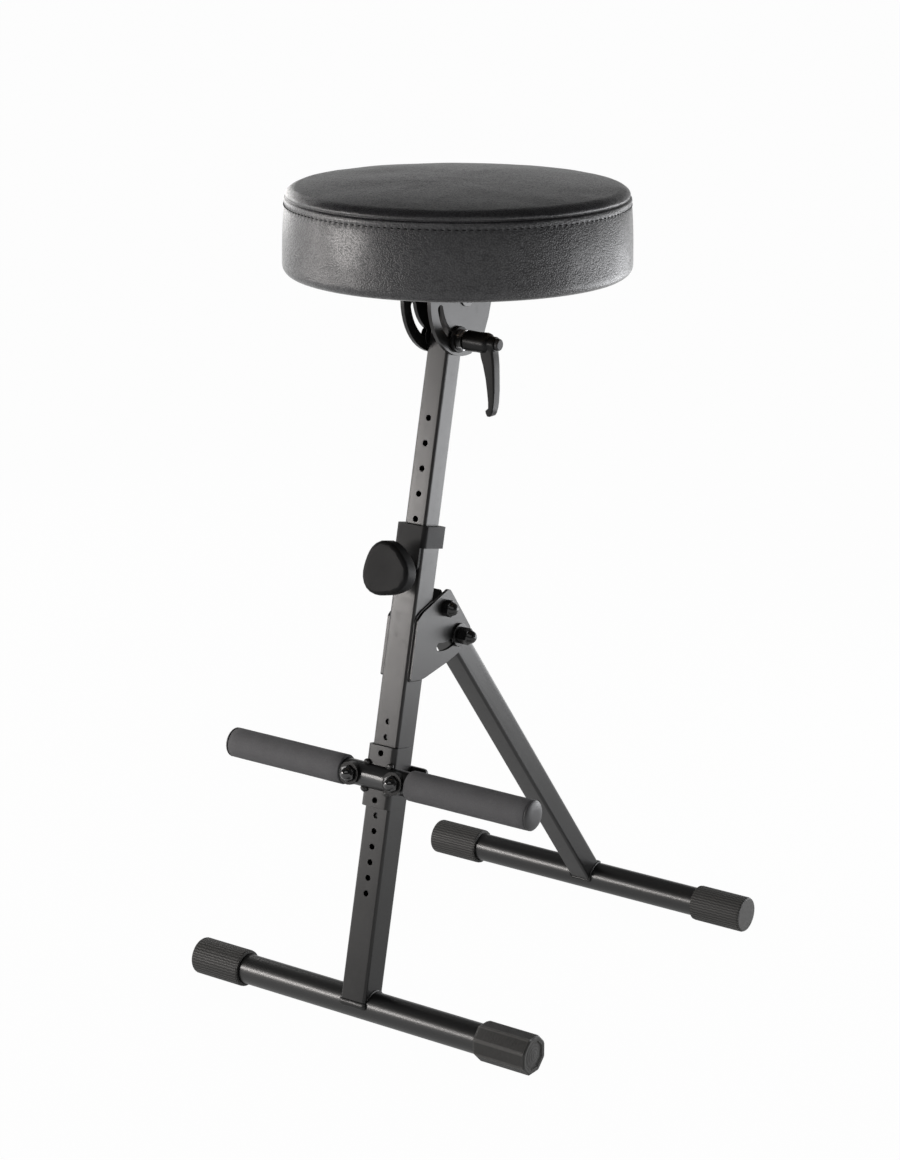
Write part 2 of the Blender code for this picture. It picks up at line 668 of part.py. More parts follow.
def hinge_plate(name, side, parent):
    """A welded cheek that carries the leg's pivot and guides its stop bolt in an arc slot."""
    back, height = LEG_PIVOT_BACK, LEG_PIVOT_HEIGHT
    front = -POST_WIDTH / 2 + TUBE_CORNER
    folded, opened = stop_slot_ends()
    stop = Vector((back, height)) + STOP_RADIUS * Vector((cos(opened), sin(opened)))
    lowest = height - STOP_RADIUS - PLATE_DROP
    top = height + PLATE_TOP
    outline = rounded([(front, lowest, PLATE_CORNER / 2),
                       (front + PLATE_TOE, lowest + PLATE_CORNER / 4, PLATE_SWEEP),
                       (back + PLATE_CORNER * 3, height - STOP_RADIUS - PLATE_EDGE, PLATE_SWEEP),
                       (stop.x + PLATE_CORNER, stop.y - PLATE_EDGE - PLATE_CORNER / 2, PLATE_CORNER * 4),
                       (stop.x + PLATE_NOSE, stop.y + PLATE_CORNER, PLATE_CORNER * 2),
                       (back + PLATE_CORNER, top, PLATE_CORNER),
                       (back, top, PLATE_CORNER),
                       (front + PLATE_CORNER * 2, height - PLATE_CORNER, PLATE_CORNER),
                       (front, height - PLATE_CORNER * 3, PLATE_CORNER)])
    low, high = sorted((side * PLATE_INNER, side * PLATE_OUTER))
    plate = add_object(name, prism(outline, "X", low, high), "black_coat", parent)
    slot = arc_slot(STOP_RADIUS, BOLT_HOLE, folded, opened, 12, (back, height))
    cut(plate, prism(slot, "X", low - HINGE_PLATE, high + HINGE_PLATE))
    pivot = [((back, height), BOLT_HOLE)]
    return cut(plate, drills(pivot, "X", low - HINGE_PLATE, high + HINGE_PLATE))


def leg_hinge(parent):
    """Cheeks, pivot bolt, cap nut, bush and side washers of the rear leg's hinge."""
    hinge_plate("hinge_plate_left", -1, parent)
    hinge_plate("hinge_plate_right", 1, parent)
    centre = (LEG_PIVOT_BACK, LEG_PIVOT_HEIGHT)
    bearing = PLATE_OUTER + FIT
    reach = PIVOT_NUT_LENGTH * NUT_BORE_SHARE
    hex_bolt("leg_pivot_bolt", -bearing, bearing + reach - FIT, parent, centre)
    dome_nut("leg_pivot_nut", "X", bearing, PIVOT_NUT_LENGTH, 1, reach, parent, centre)
    bush_end = PLATE_INNER - FIT
    bushing("leg_pivot_bush", "X", -bush_end, bush_end, BUSH_DIAMETER, BOLT_HOLE,
            "zinc_steel", parent, centre)
    for side, name in SIDES:
        low, high = sorted((side * (LEG_WIDTH / 2 + FIT), side * bush_end))
        bushing(f"leg_washer_{name}", "X", low, high, LEG_WASHER_DIAMETER, BUSH_DIAMETER + 2 * FIT,
                "black_plastic", parent, centre)


def rear_leg(parent):
    """The folding leg with its plug, foot and stop bolt, in the leg frame."""
    outer, inner = square_section(LEG_WIDTH, LEG_WALL)
    body = pipe(outer, inner, "Z", -LEG_LENGTH, LEG_OVER_PIVOT)
    tube = add_object("rear_leg_tube", body, "black_coat", parent)
    foot = (0, -LEG_LENGTH)
    cope = circle(FOOT_TUBE_DIAMETER / 2 + FIT, FOOT_POINTS)
    cut(tube, prism(cope, "X", -LEG_WIDTH, LEG_WIDTH, foot))
    stop = (-STOP_RADIUS * sin(STOP_LEAD), -STOP_RADIUS * cos(STOP_LEAD))
    holes = [((0, 0), BUSH_DIAMETER + 2 * FIT), (stop, BOLT_HOLE)]
    cut(tube, drills(holes, "X", -LEG_WIDTH, LEG_WIDTH, ROUND))
    leg_plug(parent)
    foot_tube("rear_foot_tube", REAR_FOOT_LENGTH, parent, foot)
    for side, name in SIDES:
        end_cap(f"rear_cap_{name}", side, REAR_FOOT_LENGTH, parent, foot)
    bearing = PLATE_OUTER + FIT
    washer_end = bearing + STOP_WASHER
    for side, name in SIDES:
        low, high = sorted((side * bearing, side * washer_end))
        bushing(f"stop_washer_{name}", "X", low, high, STOP_WASHER_DIAMETER, BOLT_HOLE,
                "dark_steel", parent, stop, WASHER_POINTS)
    nut_seat = washer_end + FIT
    reach = STOP_NUT_LENGTH * NUT_BORE_SHARE
    hex_bolt("stop_bolt", -nut_seat, nut_seat + reach - FIT, parent, stop)
    dome_nut("stop_nut", "X", nut_seat, STOP_NUT_LENGTH, 1, reach, parent, stop)


def square_plug(name, stations, parent):
    """A moulded square plug from (height, width, corner) stations along Z."""
    rings = [placed(rectangle(width, width, corner), "Z", height) for height, width, corner in stations]
    return add_object(name, skin(rings), "black_plastic", parent)


def leg_plug(parent):
    """The plug in the top of the rear leg."""
    bore = LEG_WIDTH - 2 * LEG_WALL - 2 * FIT
    head = LEG_OVER_PIVOT + FIT
    crown = head + LEG_PLUG_HEAD
    corner = TUBE_CORNER / 3
    stations = [(head - LEG_PLUG_TENON, bore, corner), (head, bore, corner),
                (head, LEG_WIDTH, TUBE_CORNER), (crown - PLUG_CHAMFER, LEG_WIDTH, TUBE_CORNER),
                (crown, LEG_WIDTH - 2 * PLUG_CHAMFER, TUBE_CORNER - PLUG_CHAMFER)]
    square_plug("rear_leg_plug", stations, parent)


def seat_tube(parent):
    """The inner tube with its row of locking holes, bottom glide and cross bush."""
    outer, inner = square_section(SEAT_TUBE_WIDTH, SEAT_TUBE_WALL)
    body = pipe(outer, inner, "Z", SEAT_TUBE_BOTTOM, SEAT_TUBE_TOP)
    tube = add_object("seat_tube", body, "black_coat", parent)
    steps = range(-SEAT_STEPS_UP, SEAT_STEPS_DOWN + 1)
    holes = [((0, LOCK_HEIGHT + i * SEAT_HOLE_PITCH), SEAT_HOLE_DIAMETER) for i in steps]
    cut(tube, drills(holes, "Y", -SEAT_TUBE_WIDTH, 0))
    pivot = (0, SEAT_PIVOT_HEIGHT)
    cross = [(pivot, BUSH_DIAMETER + 2 * FIT), (CLAMP_STUD, BOLT_HOLE)]
    cut(tube, drills(cross, "X", -SEAT_TUBE_WIDTH, SEAT_TUBE_WIDTH, ROUND))
    bush_end = CHEEK_INNER - FIT
    bushing("seat_pivot_bush", "X", -bush_end, bush_end, BUSH_DIAMETER, BOLT_HOLE,
            "zinc_steel", parent, pivot)
    seat_tube_glide(parent)


def seat_tube_glide(parent):
    """The plug in the tube's lower end, which slides along the post's bore."""
    bore = SEAT_TUBE_WIDTH - 2 * SEAT_TUBE_WALL - 2 * FIT
    slide = POST_WIDTH - 2 * POST_WALL - 2 * FIT
    head = SEAT_TUBE_BOTTOM - FIT
    foot = head - GLIDE_FLANGE
    corner = TUBE_CORNER / 2
    stations = [(foot, slide - 2 * PLUG_CHAMFER, corner), (foot + PLUG_CHAMFER, slide, corner),
                (head, slide, corner), (head, bore, corner / 2), (head + GLIDE_TENON, bore, corner / 2)]
    square_plug("seat_tube_glide", stations, parent)


def clamp(tube_body, lever_body, button_body):
    """The stud, discs and flange on the seat tube, and the clamp lever that turns on the stud."""
    bearing = CHEEK_OUTER + FIT
    flange_end = bearing + CLAMP_FLANGE
    insert_start = flange_end + FIT
    neck_end = insert_start + INSERT_NECK
    stem_end = neck_end + INSERT_STEM
    bore_end = stem_end - INSERT_FLOOR
    shank = BOLT_DIAMETER / 2
    stations = domed_head(-bearing, -CLAMP_HEAD, CLAMP_HEAD_DIAMETER / 2)
    stations += [(-bearing, shank), (bore_end - FIT, shank)]
    add_object("clamp_stud", turned("X", stations, BOLT_POINTS, CLAMP_STUD), "dark_steel", tube_body)
    for side, name in SIDES:
        low, high = sorted((side * (SEAT_TUBE_WIDTH / 2 + FIT), side * (CHEEK_INNER - FIT)))
        bushing(f"clamp_disc_{name}", "X", low, high, CLAMP_DISC_DIAMETER, BOLT_HOLE,
                "black_plastic", tube_body, CLAMP_STUD)
    bushing("clamp_flange", "X", bearing, flange_end, CLAMP_FLANGE_DIAMETER, BOLT_HOLE,
            "black_plastic", tube_body, CLAMP_STUD, WASHER_POINTS)
    insert = turned("X", [(bore_end, BOLT_HOLE / 2), (insert_start, BOLT_HOLE / 2),
                          (insert_start, INSERT_DIAMETER / 2), (neck_end, INSERT_DIAMETER / 2),
                          (neck_end, INSERT_STEM_DIAMETER / 2), (stem_end, INSERT_STEM_DIAMETER / 2)])
    add_object("clamp_insert", insert, "zinc_steel", lever_body)
    clamp_lever(lever_body, button_body, neck_end + FIT, stem_end)


def clamp_lever(lever_body, button_body, start, stem_end):
    """The lever with its hollow hub, the release button and the button's spring."""
    end = start + LEVER_HUB_LENGTH
    radius = LEVER_HUB_RADIUS
    stations = [(start + LEVER_HUB_LENGTH * along, radius * out) for along, out in LEVER_HUB_SHARES]
    hub = turned("X", stations, WASHER_POINTS)
    lever = add_object("clamp_lever", hub, "black_plastic", lever_body)
    arm = []
    for share, set_back, width_share in LEVER_ARM_SHARES:
        depth = LEVER_ARM_ROOT_DEPTH + (LEVER_ARM_TIP_DEPTH - LEVER_ARM_ROOT_DEPTH) * share
        width = LEVER_ARM_WIDTH * width_share
        corner = min(width, depth) / 2 * LEVER_ARM_ROUND
        section = rectangle(width, depth, corner, 3, (end - LEVER_ARM_SET_BACK * set_back, 0))
        arm.append(placed(section, "Z", -LEVER_ARM_LENGTH * share))
    combine(lever, skin(arm), "UNION")
    stem_bore = INSERT_STEM_DIAMETER / 2 + FIT
    cut(lever, turned("X", [(start - LEVER_EDGE, stem_bore), (stem_end + FIT, stem_bore)]))
    seat_at = end - BUTTON_SINK
    stem_tip = seat_at - BUTTON_STEM
    pocket = BUTTON_DIAMETER / 2 + FIT
    cut(lever, turned("X", [(stem_tip - BUTTON_TRAVEL - FIT, pocket), (end + LEVER_EDGE, pocket)]))
    face = end + BUTTON_PROUD
    head = BUTTON_DIAMETER / 2
    stem = BUTTON_STEM_DIAMETER / 2
    button = turned("X", [(stem_tip, stem), (seat_at, stem), (seat_at, head), (face - BUTTON_CHAMFER, head),
                          (face, head - BUTTON_CHAMFER)])
    add_object("clamp_button", button, "grey_plastic", button_body)
    spring(button_body, seat_at - FIT - SPRING_WIRE / 2)


def spring(parent, top):
    """The return spring, coiled round the button's stem under its head."""
    radius = (BUTTON_DIAMETER + BUTTON_STEM_DIAMETER) / 4
    pitch = (BUTTON_STEM - SPRING_WIRE - FIT) / SPRING_TURNS
    data = bpy.data.curves.new("clamp_spring", "CURVE")
    data.dimensions = "3D"
    data.bevel_depth = SPRING_WIRE / 2
    data.bevel_resolution = 1
    data.use_fill_caps = True
    line = data.splines.new("POLY")
    line.points.add(SPRING_TURNS * SPRING_STEPS)
    for i, point in enumerate(line.points):
        angle = 2 * pi * i / SPRING_STEPS
        point.co = (top - pitch * i / SPRING_STEPS, radius * cos(angle), radius * sin(angle), 1)
    data.materials.append(finish("clamp_spring", "zinc_steel"))
    coil = bpy.data.objects.new("clamp_spring", data)
    bpy.context.collection.objects.link(coil)
    coil.parent = parent
    return coil


def bracket_outline():
    """The cheek's outline: a round lobe about the pivot, cut back along its rear edge."""
    top = SEAT_RISE + BRACKET_PLATE
    lobe = BRACKET_LOBE
    rear = [(lobe * u, -lobe * v) for u, v in BRACKET_REAR_EDGE]
    rear += [(BRACKET_REAR, SEAT_RISE - BRACKET_PLATE), (BRACKET_REAR, top)]
    return [(-lobe, top)] + arc(lobe, pi, BRACKET_LOBE_END, 14) + rear


def tilt_bracket(name, side, parent):
    """An angle bracket under the seat: a slotted cheek and a flange that is screwed to the board."""
    top = SEAT_RISE - FIT
    under = top - BRACKET_PLATE
    reach = 2 * BRACKET_LOBE
    edge = CHEEK_OUTER + BRACKET_FLANGE
    section = rounded([(CHEEK_INNER, -reach, 0), (CHEEK_OUTER, -reach, 0),
                       (CHEEK_OUTER, under, BRACKET_BEND), (edge, under, 0),
                       (edge, top, 0), (CHEEK_INNER, top, BRACKET_BEND + BRACKET_PLATE / 2)], 3)
    section = [(side * u, v) for u, v in section]
    body = add_object(name, prism(section, "Y", -reach, reach), "black_coat", parent)
    low, high = sorted((side * CHEEK_INNER / 2, side * edge * 2))
    combine(body, prism(bracket_outline(), "X", low, high), "INTERSECT")
    start = -pi / 2 - CLAMP_ANGLE
    slot = arc_slot(CLAMP_RADIUS, BOLT_HOLE, start - TILT_SLOT_SPAN, start, 12)
    cut(body, prism(slot, "X", low, high))
    cut(body, drills([((0, 0), BOLT_HOLE)], "X", low, high))
    places = [place for place in SCREW_PLACES if place[0] * side > 0]
    return cut(body, drills([(place, SCREW_HOLE) for place in places], "Z", 0, 2 * SEAT_RISE))


def seat_mount(parent):
    """Tilt brackets, pivot bolt, nut and the four wood screws."""
    for side, name in SIDES:
        tilt_bracket(f"tilt_bracket_{name}", side, parent)
    bearing = CHEEK_OUTER + FIT
    nut_end = bearing + HEX_HEIGHT
    hex_bolt("seat_pivot_bolt", -bearing, nut_end + FIT, parent, (0, 0))
    bore = circle(BOLT_HOLE / 2, BOLT_POINTS, pi / 6)
    nut = pipe(polygon(HEX_FLATS, 6, BOLT_POINTS), bore, "X", bearing, nut_end)
    add_object("seat_pivot_nut", nut, "dark_steel", parent)
    seat_at = SEAT_RISE - BRACKET_PLATE - 2 * FIT
    shank = SCREW_SHANK_DIAMETER / 2
    tip = seat_at + SCREW_LENGTH
    stations = domed_head(seat_at, -SCREW_HEAD, SCREW_HEAD_DIAMETER / 2)
    stations += [(seat_at, shank), (tip - shank, shank), (tip, shank / 4)]
    for number, place in enumerate(SCREW_PLACES, 1):
        screw = turned("Z", stations, BOLT_POINTS, place)
        add_object(f"seat_screw_{number}", screw, "zinc_steel", parent)


def seat(parent):
    """The wooden board and the round cushion that caps it."""
    centre = (0, SEAT_BACK)
    base = SEAT_RISE
    board_top = base + BOARD_THICKNESS
    disc = turned("Z", [(base, BOARD_RADIUS), (board_top, BOARD_RADIUS)], SEAT_POINTS, centre)
    board = add_object("seat_board", disc, "board_wood", parent)
    pilots = [(place, SCREW_HOLE) for place in SCREW_PLACES]
    cut(board, drills(pilots, "Z", 0, base + SCREW_LENGTH - BRACKET_PLATE))
    cushion = turned("Z", cushion_profile(base, board_top), SEAT_POINTS, centre)
    add_object("seat_cushion", cushion, "leatherette", parent)


def cushion_profile(base, board_top):
    """Stations of the cushion: the board's pocket, the rolled lip, the side, the seam and the crown."""
    pocket = BOARD_RADIUS + FIT
    seam = base + SEAT_SIDE
    seam_radius = SEAT_RADIUS - SEAT_SEAM_INSET
    bottom = base - SEAT_LIP
    lip = SEAT_RADIUS - SEAT_BOTTOM_ROUND
    profile = [(board_top + FIT, BOARD_RADIUS / 8), (board_top + FIT, pocket), (bottom, pocket)]
    for degrees in (0, 30, 60, 90):
        angle = radians(degrees)
        up = SEAT_BOTTOM_ROUND * (1 - cos(angle))
        profile.append((bottom + up, lip + SEAT_BOTTOM_ROUND * sin(angle)))
    for along, drawn in SEAT_SIDE_SHARES:
        profile.append((base + SEAT_SIDE * along, SEAT_RADIUS - SEAT_SEAM_INSET * drawn))
    profile += [(seam - SEAM_GROOVE * 2, seam_radius + SEAM_GROOVE / 2), (seam - SEAM_GROOVE / 2, seam_radius),
                (seam, seam_radius - SEAM_GROOVE / 2), (seam + SEAM_GROOVE, seam_radius)]
    shoulder = seam_radius - SEAT_TOP_ROUND
    rise = SEAT_CROWN * SEAT_SHOULDER_SHARE
    for degrees in (30, 60, 90):
        angle = radians(degrees)
        profile.append((seam + rise * sin(angle), shoulder + SEAT_TOP_ROUND * cos(angle)))
    for share in SEAT_CROWN_SHARES:
        profile.append((seam + rise + (SEAT_CROWN - rise) * (1 - share ** 2), shoulder * share))
    return profile


def footrest(parent):
    """The notched foot bar with its saddle, strap, bolts, grips and plugs, in its own frame."""
    radius = REST_TUBE_DIAMETER / 2
    half = REST_TUBE_LENGTH / 2
    bore = circle(radius - REST_TUBE_WALL, BAR_POINTS)
    body = pipe(circle(radius, BAR_POINTS), bore, "X", -half, half)
    bar = add_object("footrest_tube", body, "gloss_coat", parent)
    notch = box_outline(2 * (SADDLE_OUTER + FIT), 4 * radius)
    cut(bar, prism(notch, "Y", REST_FRONT - SADDLE_FRONT - FIT, 4 * radius))
    bolt_at = REST_BOLT_SPACING / 2
    holes = [((side * bolt_at, 0), BOLT_HOLE) for side, _ in SIDES]
    cut(bar, drills(holes, "Y", -2 * radius, 2 * radius))
    saddle(parent)
    back = REST_FRONT + POST_WIDTH / 2 + FIT
    outline = rectangle(2 * (bolt_at + STRAP_END), STRAP_HEIGHT, STRAP_CORNER)
    strap_end = back + STRAP_THICKNESS
    strap = add_object("footrest_strap", prism(outline, "Y", back, strap_end), "black_coat", parent)
    cut(strap, drills(holes, "Y", 0, 2 * back))
    for side, name in SIDES:
        footrest_bolt(parent, name, side * bolt_at, strap_end + FIT, radius)
        grip(parent, name, side, half)


def saddle(parent):
    """The folded sheet saddle that wraps the post, and the sliding pad behind its front."""
    front = REST_FRONT - SADDLE_FRONT
    end = front + SADDLE_DEPTH
    inner_front = front + SADDLE_SHEET
    bend = SADDLE_BEND + SADDLE_SHEET
    section = rounded([(-SADDLE_OUTER, end, 0), (-SADDLE_OUTER, front, bend),
                       (SADDLE_OUTER, front, bend), (SADDLE_OUTER, end, 0),
                       (SADDLE_INNER, end, 0), (SADDLE_INNER, inner_front, SADDLE_BEND),
                       (-SADDLE_INNER, inner_front, SADDLE_BEND), (-SADDLE_INNER, end, 0)], 3)
    low, high = REST_DROP - SADDLE_HEIGHT / 2, REST_DROP + SADDLE_HEIGHT / 2
    body = add_object("footrest_saddle", prism(section, "Z", low, high), "black_coat", parent)
    offset = SADDLE_HOLE_STEPS * FOOTREST_HOLE_PITCH / 2
    holes = [((0, REST_DROP + end * offset), FOOTREST_HOLE_DIAMETER) for end in (-1, 1)]
    cut(body, drills(holes, "Y", -POST_WIDTH, REST_FRONT))
    width = 2 * (SADDLE_INNER - SADDLE_BEND)
    face = inner_front + FIT
    pad = prism(box_outline(width, SADDLE_HEIGHT), "Y", face, face + LINER_THICKNESS, (0, REST_DROP))
    liner = add_object("saddle_liner", pad, "black_plastic", parent)
    cut(liner, drills(holes, "Y", -POST_WIDTH, REST_FRONT))


def footrest_bolt(parent, name, at, head_at, radius):
    """One clamp bolt from the rear strap to its curved washer and cap nut in front of the bar."""
    centre = (at, 0)
    rim = -(radius + REST_WASHER_PROUD)
    nut_seat = rim - FIT
    reach = REST_NUT_LENGTH * NUT_BORE_SHARE
    shank = BOLT_DIAMETER / 2
    stations = domed_head(head_at, REST_HEAD, REST_HEAD_DIAMETER / 2)
    stations += [(head_at, shank), (nut_seat - reach + FIT, shank)]
    bolt = turned("Y", stations, BOLT_POINTS, centre)
    add_object(f"footrest_bolt_{name}", bolt, "dark_steel", parent)
    outer = REST_WASHER_DIAMETER / 2
    bore = circle(BOLT_HOLE / 2, WASHER_POINTS)
    dish = pipe(circle(outer, WASHER_POINTS), bore, "Y", rim, -radius * REST_WASHER_WRAP, centre)
    washer = add_object(f"footrest_washer_{name}", dish, "dark_steel", parent)
    cut(washer, prism(circle(radius + FIT, BAR_POINTS), "X", at - 2 * outer, at + 2 * outer))
    dome_nut(f"footrest_nut_{name}", "Y", nut_seat, REST_NUT_LENGTH, -1, reach, parent, centre)


def grip(parent, name, side, half):
    """A foam grip on the bar and the domed plug that closes its end."""
    low, high = sorted((side * GRIP_START, side * half))
    bushing(f"grip_{name}", "X", low, high, GRIP_DIAMETER, REST_TUBE_DIAMETER + 2 * FIT,
            "foam_rubber", parent, (0, 0), BAR_POINTS)
    tenon = REST_TUBE_DIAMETER / 2 - REST_TUBE_WALL - FIT
    face = half + FIT
    cap = GRIP_DIAMETER / 2
    stations = [(face - REST_PLUG_TENON, tenon), (face, tenon), (face, cap)]
    edge = face + REST_PLUG_HEAD - REST_PLUG_DOME
    for degrees in (0, 35, 65, 82):
        angle = radians(degrees)
        width = cap * (1 - REST_PLUG_CURVE * (1 - cos(angle)))
        stations.append((edge + REST_PLUG_DOME * sin(angle), width))
    stations.append((face + REST_PLUG_HEAD, cap / 8))
    body = turned("X", [(side * along, width) for along, width in stations], BAR_POINTS)
    add_object(f"footrest_plug_{name}", body, "grey_plastic", parent)


def build():
    """Build every piece on the frame of its body."""
    for obj in list(bpy.data.objects):
        bpy.data.objects.remove(obj)
    post_body = frame("post_frame", POST_FRAME)
    front_body = frame("front_foot_frame", Matrix.Translation(FRONT_FOOT))
    post(post_body)
    collar(post_body)
    leg_hinge(post_body)
    foot_tube("front_foot_tube", FRONT_FOOT_LENGTH, front_body, (0, 0))
    end_cap("front_cap_left", -1, FRONT_FOOT_LENGTH, front_body, (0, 0))
    leveller_cap(frame("leveller_frame", Matrix.Translation(FRONT_FOOT)))
    lock(post_body, frame("lock_pin_frame", LOCK_FRAME), frame("lock_knob_frame", LOCK_FRAME))
    rear_leg(frame("leg_frame", LEG_FRAME))
    tube_body = frame("seat_tube_frame", POST_FRAME)
    seat_tube(tube_body)
    clamp(tube_body, frame("lever_frame", CLAMP_FRAME), frame("button_frame", CLAMP_FRAME))
    seat_body = frame("seat_frame", SEAT_FRAME)
    seat_mount(seat_body)
    seat(seat_body)
    footrest(frame("footrest_frame", REST_FRAME))
    bpy.context.view_layer.update()


build()
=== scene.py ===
"""Folding stool with a tilting round seat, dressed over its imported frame.

The frame brings every metal and moulded part. This script sews the seat, cuts the foam grips, lays the
welds, ribs the end caps, gives each part its finish, and sets up the studio and the camera.
"""

import json
import logging
from dataclasses import dataclass
from enum import Enum
from math import atan2, ceil, cos, floor, pi, radians, sin, tau
from typing import Callable, Union

import bpy
from mathutils import Matrix, Vector

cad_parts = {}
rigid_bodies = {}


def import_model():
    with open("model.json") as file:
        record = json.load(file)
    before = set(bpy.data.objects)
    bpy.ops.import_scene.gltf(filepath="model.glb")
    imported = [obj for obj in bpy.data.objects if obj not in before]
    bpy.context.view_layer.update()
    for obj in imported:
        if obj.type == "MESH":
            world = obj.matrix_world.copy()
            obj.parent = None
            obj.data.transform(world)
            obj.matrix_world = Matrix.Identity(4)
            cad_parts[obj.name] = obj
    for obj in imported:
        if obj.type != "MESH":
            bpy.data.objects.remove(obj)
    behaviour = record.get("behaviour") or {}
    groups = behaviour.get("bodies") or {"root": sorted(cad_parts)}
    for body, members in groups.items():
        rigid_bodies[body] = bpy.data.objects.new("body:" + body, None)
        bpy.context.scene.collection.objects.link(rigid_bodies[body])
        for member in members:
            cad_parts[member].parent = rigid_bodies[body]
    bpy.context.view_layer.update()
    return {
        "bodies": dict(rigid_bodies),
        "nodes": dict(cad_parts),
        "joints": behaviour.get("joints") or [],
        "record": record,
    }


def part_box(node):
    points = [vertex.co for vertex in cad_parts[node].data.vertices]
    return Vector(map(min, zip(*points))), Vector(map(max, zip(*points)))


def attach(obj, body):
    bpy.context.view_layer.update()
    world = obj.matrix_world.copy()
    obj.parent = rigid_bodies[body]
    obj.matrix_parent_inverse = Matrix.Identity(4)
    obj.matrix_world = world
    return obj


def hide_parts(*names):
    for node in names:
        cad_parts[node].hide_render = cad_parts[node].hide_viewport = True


LOG = logging.getLogger("stool")

Colour = tuple[float, float, float]
Pair = tuple[float, float]
Point = tuple[float, float, float]
Part = bpy.types.Object
Material = bpy.types.Material

# Axes of the two foot tubes in Y and Z, in metres.
FRONT_FOOT: Pair = (-0.2107, 0.0187)
REAR_FOOT: Pair = (0.2107, 0.0187)


class Body(Enum):
    """The moving bodies that new pieces ride on."""

    FRAME = "frame"
    REAR_LEG = "rear_leg"
    SEAT = "seat"
    FOOTREST = "footrest"


class Slot(Enum):
    """The record's material slots."""

    BLACK_COAT = "black_coat"
    GLOSS_COAT = "gloss_coat"
    LEATHERETTE = "leatherette"
    BOARD_WOOD = "board_wood"
    BLACK_PLASTIC = "black_plastic"
    GREY_PLASTIC = "grey_plastic"
    FOAM_RUBBER = "foam_rubber"
    DARK_STEEL = "dark_steel"
    ZINC_STEEL = "zinc_steel"


def math_method(operation: str) -> Callable[..., "Sock"]:
    """Make a method that adds one Math node.

    Args:
        operation: The node's operation.

    Returns:
        The method, which takes the value and any further terms.
    """

    def method(self: "Sock", *terms: "Term") -> "Sock":
        """Add the node and hand back its result."""
        return self.sheet.node("ShaderNodeMath", {"operation": operation}, dict(enumerate((self, *terms))))

    return method


class Sock:
    """A shader value that takes part in sums as a number does."""

    def __init__(self, sheet: "Sheet", socket: bpy.types.NodeSocket) -> None:
        """Hold one output of a node in a sheet."""
        self.sheet = sheet
        self.socket = socket

    __add__ = __radd__ = math_method("ADD")
    __sub__ = math_method("SUBTRACT")
    __mul__ = __rmul__ = math_method("MULTIPLY")
    __truediv__ = math_method("DIVIDE")
    __pow__ = math_method("POWER")
    __abs__ = math_method("ABSOLUTE")
    sine = math_method("SINE")
    most = math_method("MAXIMUM")
    least = math_method("MINIMUM")
    turn_from = math_method("ARCTAN2")

    def __rsub__(self, other: "Term") -> "Sock":
        """The value taken from a number."""
        return self.sheet.node("ShaderNodeMath", {"operation": "SUBTRACT"}, {0: other, 1: self})


Term = Union[Sock, float]


